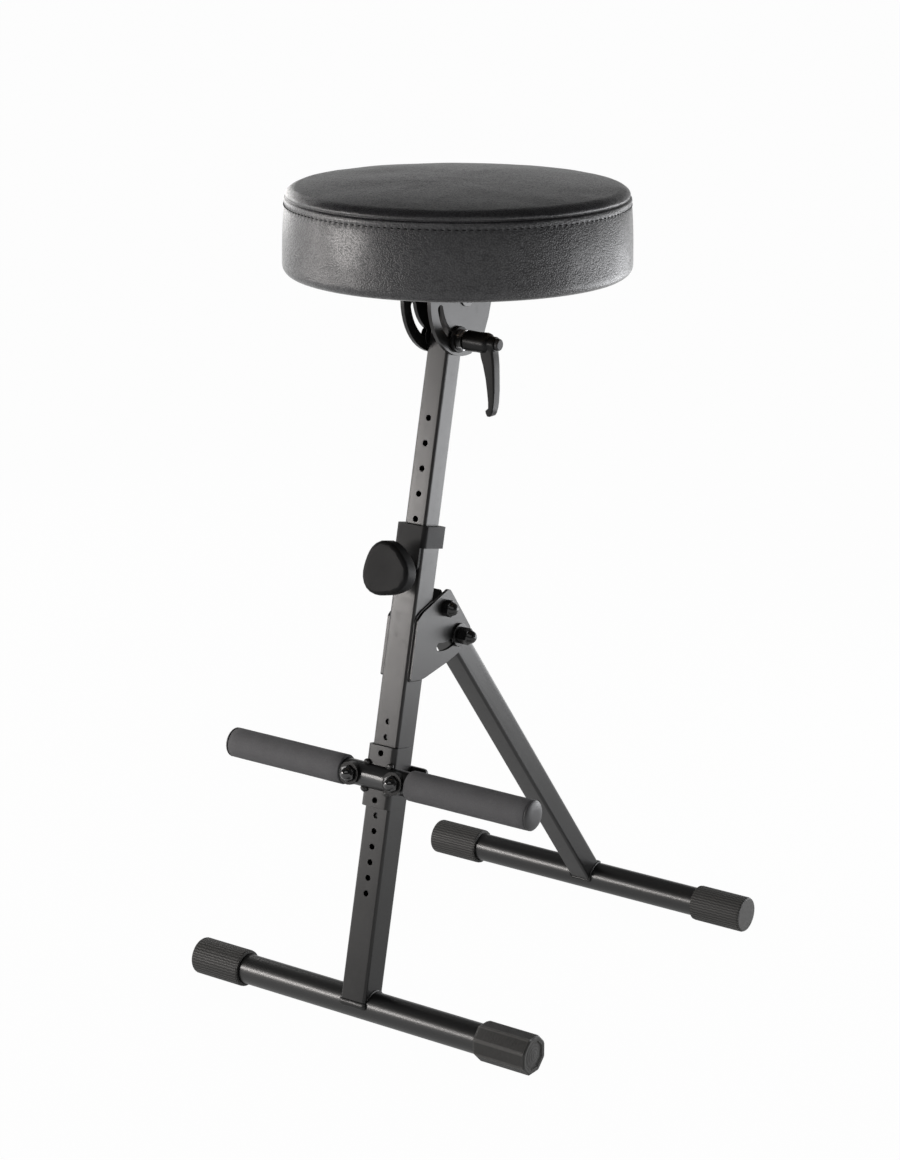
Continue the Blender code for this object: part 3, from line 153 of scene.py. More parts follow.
class Sheet:
    """The node tree of a material or a world while it is being written."""

    def __init__(self, name: str, world: bool = False) -> None:
        """Start an empty tree.

        Args:
            name: Name of the material or world.
            world: Whether it is a world.
        """
        self.owner = (bpy.data.worlds if world else bpy.data.materials).new(name)
        self.owner.use_nodes = True
        self.end = "ShaderNodeOutputWorld" if world else "ShaderNodeOutputMaterial"
        self.tree = self.owner.node_tree
        self.tree.nodes.clear()

    def node(self, kind: str, settings: dict | None = None, inputs: dict | None = None,
             output: int | str = 0) -> Sock:
        """Add one node.

        Args:
            kind: The node's type.
            settings: Its properties.
            inputs: Values or links by socket name or place.
            output: The output that is handed back.

        Returns:
            That output.
        """
        made = self.tree.nodes.new(kind)
        for key, value in (settings or {}).items():
            setattr(made, key, value)
        for key, value in (inputs or {}).items():
            if isinstance(value, Sock):
                self.tree.links.new(value.socket, made.inputs[key])
            else:
                made.inputs[key].default_value = value
        return Sock(self, made.outputs[output])

    def place(self) -> Sock:
        """The point on the part, in metres."""
        return self.node("ShaderNodeTexCoord", output="Object")

    def along(self, axis: str, where: Sock | None = None) -> Sock:
        """One coordinate of a point."""
        return self.node("ShaderNodeSeparateXYZ", inputs={0: where or self.place()}, output=axis)

    def stretched(self, scale: Point) -> Sock:
        """The point on the part with each axis scaled."""
        return self.node("ShaderNodeMapping", inputs={"Vector": self.place(), "Scale": scale})

    def noise(self, pitch: float, detail: float = 2.0, where: Sock | None = None) -> Sock:
        """Cloudy noise whose lumps are about one pitch wide."""
        values = {"Vector": where or self.place(), "Scale": 1 / pitch, "Detail": detail, "Roughness": 0.55}
        return self.node("ShaderNodeTexNoise", inputs=values)

    def cells(self, pitch: float) -> Sock:
        """Rounded cells about one pitch wide, dark at their hearts."""
        values = {"Vector": self.place(), "Scale": 1 / pitch, "Smoothness": 0.4}
        return self.node("ShaderNodeTexVoronoi", {"feature": "SMOOTH_F1"}, values, "Distance")

    def ramp(self, value: Sock, *stops: Pair) -> Sock:
        """Pass a value through a grey ramp.

        Args:
            value: The value.
            stops: Place and tone of the ramp's two stops.

        Returns:
            The tone.
        """
        tone = self.node("ShaderNodeValToRGB", inputs={0: value})
        for stop, (place, grey) in zip(tone.socket.node.color_ramp.elements, stops):
            stop.position = place
            stop.color = (grey, grey, grey, 1)
        return tone

    def mixed(self, share: Sock, first: Colour, second: Colour) -> Sock:
        """A colour between two colours."""
        values = {0: share, 6: (*first, 1), 7: (*second, 1)}
        return self.node("ShaderNodeMix", {"data_type": "RGBA"}, values, 2)

    def relief(self, height: Sock, depth: float, under: Sock | None = None) -> Sock:
        """A normal that follows a height of 0 to 1 over the given depth."""
        values = {"Height": height, "Distance": depth, "Strength": 1.0} | ({"Normal": under} if under else {})
        return self.node("ShaderNodeBump", inputs=values)

    def finish(self, **values: "Term | tuple") -> Material:
        """Close the sheet with one surface shader.

        Args:
            values: Shader inputs, with underscores for spaces.

        Returns:
            The material.
        """
        inputs = {key.replace("_", " "): value for key, value in values.items()}
        self.node_end(self.node("ShaderNodeBsdfPrincipled", inputs=inputs))
        return self.owner

    def node_end(self, surface: Sock) -> None:
        """Send a shader to the tree's output."""
        end = self.tree.nodes.new(self.end)
        self.tree.links.new(surface.socket, end.inputs["Surface"])


def shade(colour: Colour, share: float) -> Colour:
    """A colour made lighter or darker."""
    red, green, blue = colour
    return (red * share, green * share, blue * share)


def mirrored(half: list[Pair]) -> list[Pair]:
    """The rings of one end, turned round for the other."""
    return [(-height, radius) for height, radius in reversed(half)]


@dataclass(frozen=True)
class Finish:
    """What every finish has: a name, a colour and a gloss."""

    name: str
    colour: Colour
    roughness: float

    def material(self) -> Material:
        """Write the finish as a material."""
        raise NotImplementedError

    def tone(self, sheet: Sheet, share: Sock, dark: float, light: float) -> Sock:
        """A colour between a darker and a lighter shade of the finish's own."""
        return sheet.mixed(share, shade(self.colour, dark), shade(self.colour, light))


@dataclass(frozen=True)
class Coat(Finish):
    """Sprayed coat on steel, with a fine orange-peel skin and handling marks."""

    peel: float = 0.0016
    peel_depth: float = 0.000012
    spread: float = 0.25
    specular: float = 0.5
    blotch: float = 0.12
    stretch: Point = (1.0, 1.0, 1.0)

    def material(self) -> Material:
        """Write the coat as a material.

        Returns:
            The material.
        """
        sheet = Sheet(self.name)
        drawn = sheet.stretched(self.stretch)
        cloud = sheet.noise(0.045, 4, drawn)
        rub = sheet.ramp(sheet.noise(0.006, 5, drawn), (0.52, 0), (0.72, 1))
        gloss = self.roughness + (cloud - 0.5) * self.blotch + rub * self.blotch * 0.4
        tone = self.tone(sheet, cloud, 1 - self.spread, 1 + self.spread)
        skin = sheet.relief(sheet.noise(self.peel, 1, drawn), self.peel_depth)
        return sheet.finish(Base_Color=tone, Roughness=gloss, Specular_IOR_Level=self.specular, Normal=skin)


@dataclass(frozen=True)
class Leatherette(Finish):
    """Grained seat cover that gathers a little at every stitch, with painted shade between the gathers along
    the stitch row.
    """

    centre: Point = (0.0, 0.0, 0.0)
    stitch_height: float = 0.0
    stitches: int = 150
    grain: float = 0.0016
    grain_depth: float = 0.00046
    patch_depth: float = 0.0006
    gather_depth: float = 0.0002
    gather_reach: float = 0.0045

    def material(self) -> Material:
        """Write the cover as a material.

        Returns:
            The material.
        """
        sheet = Sheet(self.name)
        centre_x, centre_y, _ = self.centre
        across = sheet.along("X") - centre_x
        back = sheet.along("Y") - centre_y
        gather = (back.turn_from(across) * float(self.stitches)).sine() * 0.5 + 0.5
        near = 1 - (abs(sheet.along("Z") - self.stitch_height) / self.gather_reach).least(1.0)
        pebble = sheet.ramp(sheet.cells(self.grain), (0.1, 1), (0.75, 0))
        pore = sheet.noise(self.grain * 0.22, 3)
        mottle = sheet.noise(0.03, 5, sheet.stretched((1, 2.2, 1)))
        patch = sheet.noise(0.007, 4)
        skin = sheet.relief(patch, self.patch_depth)
        skin = sheet.relief(pebble * 0.7 + pore * 0.3, self.grain_depth, skin)
        skin = sheet.relief(gather * near * near, self.gather_depth, skin)
        # Painted shade: the cover is darker between the gathers along the stitch row; the same mask also
        # roughens it and thins its coat.
        hollow = near * near * (1 - gather)
        gloss = self.roughness + (mottle - 0.5) * 0.18 + hollow * 0.3
        tone = self.tone(sheet, mottle - hollow * 0.6, 0.6, 1.45)
        sheen = sheet.ramp(pebble * 0.6 + patch * 0.4 + mottle * 0.3, (0.3, 0.05), (1.0, 0.9)) - hollow
        return sheet.finish(Base_Color=tone, Roughness=gloss, Specular_IOR_Level=0.45,
                            Coat_Weight=sheen.most(0.0), Coat_Roughness=0.28, Normal=skin)


@dataclass(frozen=True)
class Moulded(Finish):
    """Moulded plastic with a spark-eroded skin."""

    grain: float = 0.0007
    grain_depth: float = 0.00003
    specular: float = 0.3

    def material(self) -> Material:
        """Write the plastic as a material.

        Returns:
            The material.
        """
        sheet = Sheet(self.name)
        skin = sheet.relief(sheet.noise(self.grain, 3), self.grain_depth)
        cloud = sheet.noise(0.02, 4)
        tone = self.tone(sheet, cloud, 0.8, 1.2)
        gloss = self.roughness + (cloud - 0.5) * 0.14
        return sheet.finish(Base_Color=tone, Roughness=gloss, Specular_IOR_Level=self.specular, Normal=skin)


@dataclass(frozen=True)
class CapPlastic(Moulded):
    """Moulded plastic of a cap on a foot tube, described round the tube's axis."""

    axis: Pair = (0.0, 0.0)
    radius: float = 0.0187

    def polar(self, sheet: Sheet) -> tuple[Sock, Sock]:
        """Distance from the tube's axis, and the angle round it."""
        back, up = sheet.along("Y") - self.axis[0], sheet.along("Z") - self.axis[1]
        return (back * back + up * up) ** 0.5, up.turn_from(back)


@dataclass(frozen=True)
class Knurled(CapPlastic):
    """Plastic of the round caps, with fine wavy ribs along the foot tube, painted shade in their grooves and
    a painted lighter end face.
    """

    pitch: float = 0.0030
    depth: float = 0.0001
    sway: float = 0.6

    def material(self) -> Material:
        """Write the knurled plastic as a material.

        Returns:
            The material.
        """
        sheet = Sheet(self.name)
        out, turn = self.polar(sheet)
        steps = round(tau * self.radius / self.pitch)
        wave = (sheet.along("X") * (tau / self.pitch / 2)).sine()
        rim = sheet.ramp(out / self.radius, (0.90, 0), (0.95, 1))
        height = (turn * float(steps) + wave * self.sway).sine() * rim * 0.5 + 0.5
        # Painted light: the colour is darker in the rib grooves as painted shade, and lighter on the end face
        # as a painted highlight.
        pale = (height + (1 - rim) * 0.5).least(1.0)
        tone = self.tone(sheet, pale, 0.6, 1.65)
        skin = sheet.relief(sheet.noise(self.grain, 3), self.grain_depth, sheet.relief(height, self.depth))
        return sheet.finish(Base_Color=tone, Roughness=self.roughness + (0.5 - height) * 0.2,
                            Specular_IOR_Level=self.specular, Normal=skin)


@dataclass(frozen=True)
class Faceted(CapPlastic):
    """Plastic of the levelling cap: fine ribs along it and rings on its end, with painted shade in their
    grooves and painted highlights along its corners and on its end.
    """

    end: float = 0.0
    flats: int = 8
    rib: float = 0.0011
    ring: float = 0.0032
    depth: float = 0.00014
    cloud_depth: float = 0.0001

    def material(self) -> Material:
        """Write the levelling cap's plastic as a material.

        Returns:
            The material.
        """
        sheet = Sheet(self.name)
        out, turn = self.polar(sheet)
        corner = (turn * float(self.flats) + pi / 2).sine() * -0.5 + 0.5
        painted_corner_highlight = sheet.ramp(corner, (0.80, 0), (0.97, 1))
        face = sheet.ramp(sheet.along("X") / self.end, (0.988, 0), (0.992, 1))
        ribs = (turn * float(round(tau * self.radius / self.rib))).sine() * 0.5 + 0.5
        rings = (out * (tau / self.ring)).sine() * 0.5 + 0.5
        height = ribs * (1 - face) + rings * face
        cloud = sheet.noise(0.008, 4)
        # Painted light: besides random tone, the colour is darker in the rib and ring grooves as painted
        # shade, and lighter along the corners and on the end face as painted highlights.
        pale = (cloud * 0.25 + height * 0.2 + painted_corner_highlight * (1 - face) * 0.9 + face * 0.5).least(1.0)
        tone = self.tone(sheet, pale, 0.55, 2.4)
        skin = sheet.relief(height, self.depth, sheet.relief(cloud, self.cloud_depth))
        return sheet.finish(Base_Color=tone, Roughness=self.roughness + (cloud - 0.5) * 0.16 - face * 0.14,
                            Specular_IOR_Level=self.specular, Normal=skin)


@dataclass(frozen=True)
class Foam(Finish):
    """Closed-cell foam rubber."""

    cell: float = 0.0011
    depth: float = 0.00022

    def material(self) -> Material:
        """Write the foam as a material.

        Returns:
            The material.
        """
        sheet = Sheet(self.name)
        cloud = sheet.noise(0.018, 4)
        pits = sheet.cells(self.cell)
        skin = sheet.relief(pits * 0.7 + sheet.noise(self.cell * 0.4, 2) * 0.3, self.depth)
        tone = self.tone(sheet, cloud * 0.6 + pits * 0.4, 0.7, 1.3)
        gloss = self.roughness + (cloud - 0.5) * 0.1
        return sheet.finish(Base_Color=tone, Roughness=gloss, Normal=skin)


@dataclass(frozen=True)
class Steel(Finish):
    """Bare or plated steel with fine turning marks and stains."""

    lay: Point = (60.0, 900.0, 900.0)
    depth: float = 0.000015

    def material(self) -> Material:
        """Write the steel as a material.

        Returns:
            The material.
        """
        sheet = Sheet(self.name)
        lines = sheet.noise(1.0, 3, sheet.stretched(self.lay))
        stain = sheet.noise(0.006, 4)
        tone = self.tone(sheet, stain, 0.75, 1.15)
        gloss = self.roughness + (lines - 0.5) * 0.14 + (stain - 0.5) * 0.12
        skin = sheet.relief(lines, self.depth)
        return sheet.finish(Base_Color=tone, Roughness=gloss, Metallic=1.0, Normal=skin)


@dataclass(frozen=True)
class Neck(Finish):
    """Plated steel neck, painted black on its flanks as painted shade, so that only its top and bottom show
    bright glints.
    """

    middle: float = 0.0
    radius: float = 0.01
    depth: float = 0.00002

    def material(self) -> Material:
        """Write the neck as a material.

        Returns:
            The material.
        """
        sheet = Sheet(self.name)
        # Painted light: bright metal only at the top and bottom, painted black between, standing in for where
        # the neck reflects dark.
        painted_glint_band = sheet.ramp(abs(sheet.along("Z") - self.middle) / self.radius, (0.48, 0), (0.58, 1))
        stain = sheet.noise(0.004, 4)
        tone = sheet.mixed(painted_glint_band, shade(self.colour, 0.02), self.colour)
        return sheet.finish(Base_Color=tone, Metallic=painted_glint_band, Roughness=self.roughness + stain * 0.15,
                            Normal=sheet.relief(stain, self.depth))


@dataclass(frozen=True)
class Plywood(Finish):
    """Sanded plywood with its grain along X."""

    rings: float = 420.0
    warp: float = 16.0
    depth: float = 0.00008

    def material(self) -> Material:
        """Write the board as a material.

        Returns:
            The material.
        """
        sheet = Sheet(self.name)
        warp = sheet.noise(0.05, 3, sheet.stretched((0.3, 1, 1)))
        rings = (sheet.along("Y") * self.rings + warp * self.warp).sine() * 0.5 + 0.5
        fibre = sheet.noise(1.0, 4, sheet.stretched((40, 1500, 1500)))
        grain = rings * 0.45 + fibre * 0.55
        tone = self.tone(sheet, grain, 0.62, 1.12)
        skin = sheet.relief(fibre, self.depth)
        return sheet.finish(Base_Color=tone, Roughness=self.roughness + (grain - 0.5) * 0.1, Normal=skin)


@dataclass(frozen=True)
class Thread(Finish):
    """Twisted sewing thread."""

    twist: float = 0.0008
    depth: float = 0.0001

    def material(self) -> Material:
        """Write the thread as a material.

        Returns:
            The material.
        """
        sheet = Sheet(self.name)
        along = sheet.along("X") + sheet.along("Y") + sheet.along("Z")
        twist = (along * (tau / self.twist)).sine() * 0.5 + 0.5
        tone = self.tone(sheet, twist, 0.6, 1.5)
        return sheet.finish(Base_Color=tone, Roughness=self.roughness + twist * 0.1,
                            Specular_IOR_Level=0.15, Normal=sheet.relief(twist, self.depth))


class Bench:
    """The workbench: starts, shapes and finishes meshes."""

    @staticmethod
    def clear() -> None:
        """Leave edit mode and select nothing."""
        if bpy.context.object and bpy.context.object.mode != "OBJECT":
            bpy.ops.object.mode_set(mode="OBJECT")
        bpy.ops.object.select_all(action="DESELECT")

    @staticmethod
    def only(part: Part) -> None:
        """Select one part alone and make it active.

        Args:
            part: The part.
        """
        Bench.clear()
        part.select_set(True)
        bpy.context.view_layer.objects.active = part

    @staticmethod
    def settle(part: Part, name: str, matrix: Matrix | None = None) -> Part:
        """Name a part, put it in its place and bake that place into its mesh.

        Args:
            part: The new part.
            name: Its name.
            matrix: Its place, if it was made at the origin.

        Returns:
            The part.
        """
        Bench.only(part)
        part.name = name
        part.data.name = name
        if matrix:
            part.matrix_world = matrix
        bpy.ops.object.transform_apply(location=True, rotation=True, scale=True)
        return part

    @staticmethod
    def turned(name: str, stations: list[Pair], segments: int, matrix: Matrix,
               ring: bool = False) -> Part:
        """Draw a ring up through stations into a turned form.

        Args:
            name: The part's name.
            stations: Height and radius of each ring.
            segments: Points round a ring.
            matrix: Where the form stands; it is turned about its own Z.
            ring: Whether the last ring joins the first, as on a sleeve.

        Returns:
            The closed form.
        """
        Bench.clear()
        (height, radius), *rest = stations
        bpy.ops.mesh.primitive_circle_add(vertices=segments, radius=radius, location=(0, 0, height))
        part = bpy.context.object
        bpy.ops.object.transform_apply(location=True)
        bpy.ops.object.mode_set(mode="EDIT")
        bpy.ops.mesh.select_all(action="SELECT")
        for next_height, next_radius in rest:
            bpy.ops.mesh.extrude_region_move(TRANSFORM_OT_translate={"value": (0, 0, next_height - height)})
            share = next_radius / radius
            bpy.ops.transform.resize(value=(share, share, 1), center_override=(0, 0, next_height))
            height, radius = next_height, next_radius
        if ring:
            bpy.ops.mesh.select_all(action="DESELECT")
            bpy.ops.mesh.select_non_manifold()
            bpy.ops.mesh.bridge_edge_loops()
        else:
            for rim in (stations[0], stations[-1]):
                Bench.pick(part, lambda point: Vector((point.z, point.xy.length)) - Vector(rim))
                bpy.ops.mesh.fill_grid(span=segments // 4)
        bpy.ops.mesh.select_all(action="SELECT")
        bpy.ops.mesh.normals_make_consistent(inside=False)
        bpy.ops.object.mode_set(mode="OBJECT")
        return Bench.settle(part, name, matrix)

    @staticmethod
    def pick(part: Part, miss: Callable[[Vector], Vector], within: float = 1e-5) -> None:
        """Select, in edit mode, the points that lie where they should.

        Args:
            part: The part being shaped.
            miss: How far off a point is.
            within: The most it may be off.
        """
        bpy.ops.mesh.select_all(action="DESELECT")
        bpy.ops.object.mode_set(mode="OBJECT")
        for point in part.data.vertices:
            point.select = miss(point.co).length < within
        bpy.ops.object.mode_set(mode="EDIT")

    @staticmethod
    def modify(part: Part, kind: str, apply: bool = True, **settings: object) -> bpy.types.Modifier:
        """Give a part a modifier.

        Args:
            part: The part.
            kind: The modifier's type.
            apply: Whether it is applied at once.
            settings: The modifier's properties.

        Returns:
            The modifier, which is gone once applied.
        """
        Bench.only(part)
        made = part.modifiers.new(kind.lower(), kind)
        for key, value in settings.items():
            setattr(made, key, value)
        if apply:
            bpy.ops.object.modifier_apply(modifier=made.name)
        return made

    @staticmethod
    def unevenness(part: Part, pitch: float, height: float, group: str = "") -> None:
        """Make a surface a little uneven.

        Args:
            part: The part.
            pitch: Width of a lump.
            height: Height from hollow to lump.
            group: Vertex group that may move, or all.
        """
        cloud = bpy.data.textures.new(part.name + "_lumps", "CLOUDS")
        cloud.noise_scale = pitch
        cloud.noise_depth = 2
        Bench.modify(part, "DISPLACE", texture=cloud, texture_coords="LOCAL", strength=height,
                     mid_level=0.5, vertex_group=group)

    @staticmethod
    def around(part: Part, centre: Vector, count: int) -> None:
        """Repeat a part in a full circle about an upright axis.

        Args:
            part: The part.
            centre: A point on the axis.
            count: Number of parts.
        """
        Bench.clear()
        bpy.ops.object.empty_add()
        step = bpy.context.object
        step.matrix_world = (Matrix.Translation(centre) @ Matrix.Rotation(tau / count, 4, "Z")
                             @ Matrix.Translation(-centre))
        Bench.modify(part, "ARRAY", count=count, use_relative_offset=False, use_object_offset=True,
                     offset_object=step)
        bpy.data.objects.remove(step)

    @staticmethod
    def sort(part: Part, place: Point) -> None:
        """Put a part's points, edges and faces in one order, so that a simulation runs alike each time.

        Args:
            part: The part.
            place: The point from which they are counted, off the part's planes of symmetry.
        """
        Bench.only(part)
        cursor = bpy.context.scene.cursor
        cursor.location = place
        bpy.ops.object.mode_set(mode="EDIT")
        bpy.ops.mesh.select_all(action="SELECT")
        bpy.ops.mesh.sort_elements(type="CURSOR_DISTANCE", elements={"VERT", "EDGE", "FACE"})
        bpy.ops.object.mode_set(mode="OBJECT")
        cursor.location = (0, 0, 0)

    @staticmethod
    def smooth(part: Part, degrees: float = 35.0) -> None:
        """Shade a part smooth up to an edge angle."""
        Bench.only(part)
        bpy.ops.object.shade_smooth_by_angle(angle=radians(degrees))

    @staticmethod
    def dress(part: Part, material: Material) -> None:
        """Give a part one material."""
        part.data.materials.clear()
        part.data.materials.append(material)


@dataclass
class Seat:
    """The sewn seat: a swollen cover over foam, its seam and stitches, and the tacked hem below."""

    segments: int = 144
    bottom_round: float = 0.010
    seam_drop: float = 0.0185
    seam_inset: float = 0.0030
    groove: float = 0.0026
    shoulder: float = 0.013
    shoulder_share: float = 0.60
    slack: float = 0.0010
    pocket_gap: float = 0.0004
    stitch_drop: float = 0.0072
    stitch_row: float = 0.0018
    stitches: int = 156
    stitch_length: float = 0.0038
    stitch_thickness: float = 0.0012
    stitch_slant: float = 8.0
    side_rows: int = 10
    seam_reach: float = 0.0022
    lump_pitch: float = 0.065
    lump_height: float = 0.0016
    hem_width: float = 0.022
    hem_thickness: float = 0.0010
    hem_gap: float = 0.0002
    tacks: int = 44
    tack: Point = (0.010, 0.0012, 0.0008)
    tack_slant: float = 14.0
    pressure: float = 1.0
    steps: int = 15
    most_swell: float = 0.005
    sorted_from: Point = (0.613, 0.377, 1.291)

    def __post_init__(self) -> None:
        """Take the seat's place from the frame."""
        low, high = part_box("seat_cushion")
        self.centre = Vector(((low[0] + high[0]) / 2, (low[1] + high[1]) / 2, 0.0))
        self.radius = (high[0] - low[0]) / 2
        self.bottom = low[2]
        self.top = high[2]
        board_low, board_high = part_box("seat_board")
        self.board_radius = (board_high[0] - board_low[0]) / 2
        self.board_bottom = board_low[2]
        self.board_top = board_high[2]
        self.seam = self.top - self.seam_drop
        self.seam_radius = self.radius - self.seam_inset

    def stations(self) -> list[Pair]:
        """The slack cover from the board's pocket round to the crown.

        Returns:
            Height and radius of each ring.
        """
        pocket = self.board_radius + self.pocket_gap
        side = self.radius - self.slack * 0.2
        inner = side - self.bottom_round
        rings = [(self.board_top + 0.0005, pocket), (self.board_bottom, pocket),
                 (self.bottom, pocket + 0.002)]
        rings += [(self.bottom, pocket + (inner - pocket) * share) for share in (0.4, 0.7, 1.0)]
        start = self.bottom + self.bottom_round
        for angle in map(radians, (20, 40, 60, 80)):
            rings.append((start - self.bottom_round * cos(angle), inner + self.bottom_round * sin(angle)))
        sewn = self.seam - self.stitch_drop
        finish = sewn - self.stitch_row
        edge = self.seam_radius + 0.0008
        for share in (row / self.side_rows for row in range(self.side_rows + 1)):
            rings.append((start + (finish - start) * share, side + (edge - side) * share ** 3))
        rings += [(sewn, edge - 0.0006), (sewn + self.stitch_row, edge), (self.seam - 0.0030, edge),
                  (self.seam - 0.0013, edge - 0.0001), (self.seam - 0.0004, edge - 0.0007),
                  (self.seam, edge - self.groove), (self.seam + 0.0007, edge - self.groove),
                  (self.seam + 0.0020, self.seam_radius - 0.0008)]
        rise = self.seam_drop * self.shoulder_share - self.slack
        turn_in = self.seam_radius - self.shoulder
        for angle in map(radians, (22, 36, 50, 64, 78, 90)):
            rings.append((self.seam + rise * sin(angle), turn_in + self.shoulder * cos(angle)))
        crown = self.seam_drop - self.slack - rise
        for share in (0.94, 0.87, 0.79, 0.70, 0.60, 0.50, 0.40, 0.30):
            rings.append((self.seam + rise + crown * (1 - share ** 2), turn_in * share))
        return rings

    def build(self) -> list[Part]:
        """Make the seat's pieces.

        Returns:
            Cushion, stitches, hem and tacks.
        """
        cushion = self.cushion()
        pieces = [cushion, self.stitching(cushion), self.hem(), self.tacking()]
        for piece in pieces:
            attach(piece, Body.SEAT.value)
        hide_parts("seat_cushion")
        return pieces

    def cushion(self) -> Part:
        """Swell the cover and give it its seam.

        Returns:
            The cushion.
        """
        cover = Bench.turned("cushion", self.stations(), self.segments, Matrix.Translation(self.centre))
        Bench.sort(cover, self.sorted_from)
        held = cover.vertex_groups.new(name="held")
        free = cover.vertex_groups.new(name="free")
        for point in cover.data.vertices:
            height = point.co.z
            out = self.out(point)
            sewn = abs(height - self.seam) < self.seam_reach and out > self.seam_radius - 0.006
            pocket = out < self.board_radius + 0.001 and height < self.seam
            fixed = sewn or pocket or height < self.bottom + 0.0015
            (held if fixed else free).add([point.index], 1.0, "REPLACE")
        self.swell(cover)
        Bench.unevenness(cover, self.lump_pitch, self.lump_height, "free")
        Bench.modify(cover, "SUBSURF", levels=1, render_levels=1)
        Bench.smooth(cover, 60)
        Bench.dress(cover, self.cover_finish().material())
        return cover

    def out(self, point: bpy.types.MeshVertex) -> float:
        """How far a point is from the seat's axis."""
        return (point.co - self.centre).to_2d().length

    def swell(self, cover: Part) -> None:
        """Blow the cover up against its seams, with a cap on how far a point may go.

        Args:
            cover: The slack cover, which ends up swollen.
        """
        before = [point.co.copy() for point in cover.data.vertices]
        cloth = Bench.modify(cover, "CLOTH", apply=False)
        settings = {"quality": 6, "mass": 0.4, "tension_stiffness": 80, "compression_stiffness": 80,
                    "shear_stiffness": 40, "bending_stiffness": 20, "use_pressure": True,
                    "uniform_pressure_force": self.pressure, "vertex_group_mass": "held"}
        for key, value in settings.items():
            setattr(cloth.settings, key, value)
        cloth.settings.effector_weights.gravity = 0
        cloth.collision_settings.use_collision = False
        scene = bpy.context.scene
        scene.frame_end = max(scene.frame_end, self.steps)
        for step in range(1, self.steps + 1):
            scene.frame_set(step)
        Bench.only(cover)
        bpy.ops.object.modifier_apply(modifier=cloth.name)
        scene.frame_set(1)
        moved = []
        for point, start in zip(cover.data.vertices, before):
            path = point.co - start
            moved.append(path.length)
            if path.length > self.most_swell:
                point.co = start + path.normalized() * self.most_swell
        LOG.info("cover swells by %.1f mm at most", max(moved) * 1000)

    def cover_finish(self) -> Leatherette:
        """The cover's finish, gathered along this seat's stitches."""
        return Leatherette("black_leatherette", (0.0165, 0.016, 0.018), 0.35, tuple(self.centre),
                           self.seam - self.stitch_drop, self.stitches)

    def stitching(self, cushion: Part) -> Part:
        """A row of slanted stitches below the seam.

        Args:
            cushion: The swollen cover that they sit on.

        Returns:
            All the stitches as one piece.
        """
        height = self.seam - self.stitch_drop
        rim = [self.out(point) for point in cushion.data.vertices
               if abs(point.co.z - height) < self.seam_reach and self.out(point) > self.radius * 0.9]
        out = sum(rim) / len(rim)
        Bench.clear()
        bpy.ops.mesh.primitive_uv_sphere_add(segments=8, ring_count=6, radius=0.5)
        stitch = bpy.context.object
        place = (Matrix.Translation(self.centre + Vector((0, -out, height)))
                 @ Matrix.Rotation(radians(self.stitch_slant), 4, "Y")
                 @ Matrix.Diagonal((self.stitch_length, self.stitch_thickness, self.stitch_thickness, 1)))
        Bench.settle(stitch, "seat_stitches", place)
        Bench.modify(stitch, "CAST", factor=0.25, cast_type="CUBOID")
        Bench.around(stitch, self.centre, self.stitches)
        Bench.smooth(stitch, 70)
        Bench.dress(stitch, Thread("black_thread", (0.005, 0.005, 0.005), 0.8).material())
        return stitch

    def hem(self) -> Part:
        """The cover's edge, folded under the board.

        Returns:
            The hem.
        """
        upper = self.board_bottom - self.hem_gap
        lower = upper - self.hem_thickness
        outer = self.board_radius + self.hem_gap
        inner = outer - self.hem_width
        middle = (outer + inner) / 2
        rings = [(upper, outer), (upper, middle), (upper, inner + 0.001), (lower + 0.0004, inner),
                 (lower, inner + 0.002), (lower, middle), (lower, outer)]
        hem = Bench.turned("seat_hem", rings, self.segments, Matrix.Translation(self.centre), ring=True)
        Bench.modify(hem, "SUBSURF", levels=1, render_levels=1)
        low = hem.vertex_groups.new(name="low")
        low.add([point.index for point in hem.data.vertices if point.co.z < upper - 0.0003], 1.0, "REPLACE")
        Bench.unevenness(hem, 0.006, 0.0006, "low")
        Bench.smooth(hem, 60)
        Bench.dress(hem, self.cover_finish().material())
        return hem

    def tacking(self) -> Part:
        """The staples that hold the hem to the board.

        Returns:
            All the staples as one piece.
        """
        lower = self.board_bottom - self.hem_thickness - self.hem_gap
        out = self.board_radius - self.hem_width * 0.62
        Bench.clear()
        bpy.ops.mesh.primitive_cube_add(size=1)
        staple = bpy.context.object
        place = (Matrix.Translation(self.centre + Vector((0, -out, lower - 0.0001)))
                 @ Matrix.Rotation(radians(self.tack_slant), 4, "Z") @ Matrix.Diagonal((*self.tack, 1)))
        Bench.settle(staple, "seat_staples", place)
        Bench.modify(staple, "BEVEL", width=0.0003, segments=2)
        Bench.around(staple, self.centre, self.tacks)
        Bench.smooth(staple)
        Bench.dress(staple, Steel("staple_wire", (0.55, 0.54, 0.52), 0.35).material())
        return staple


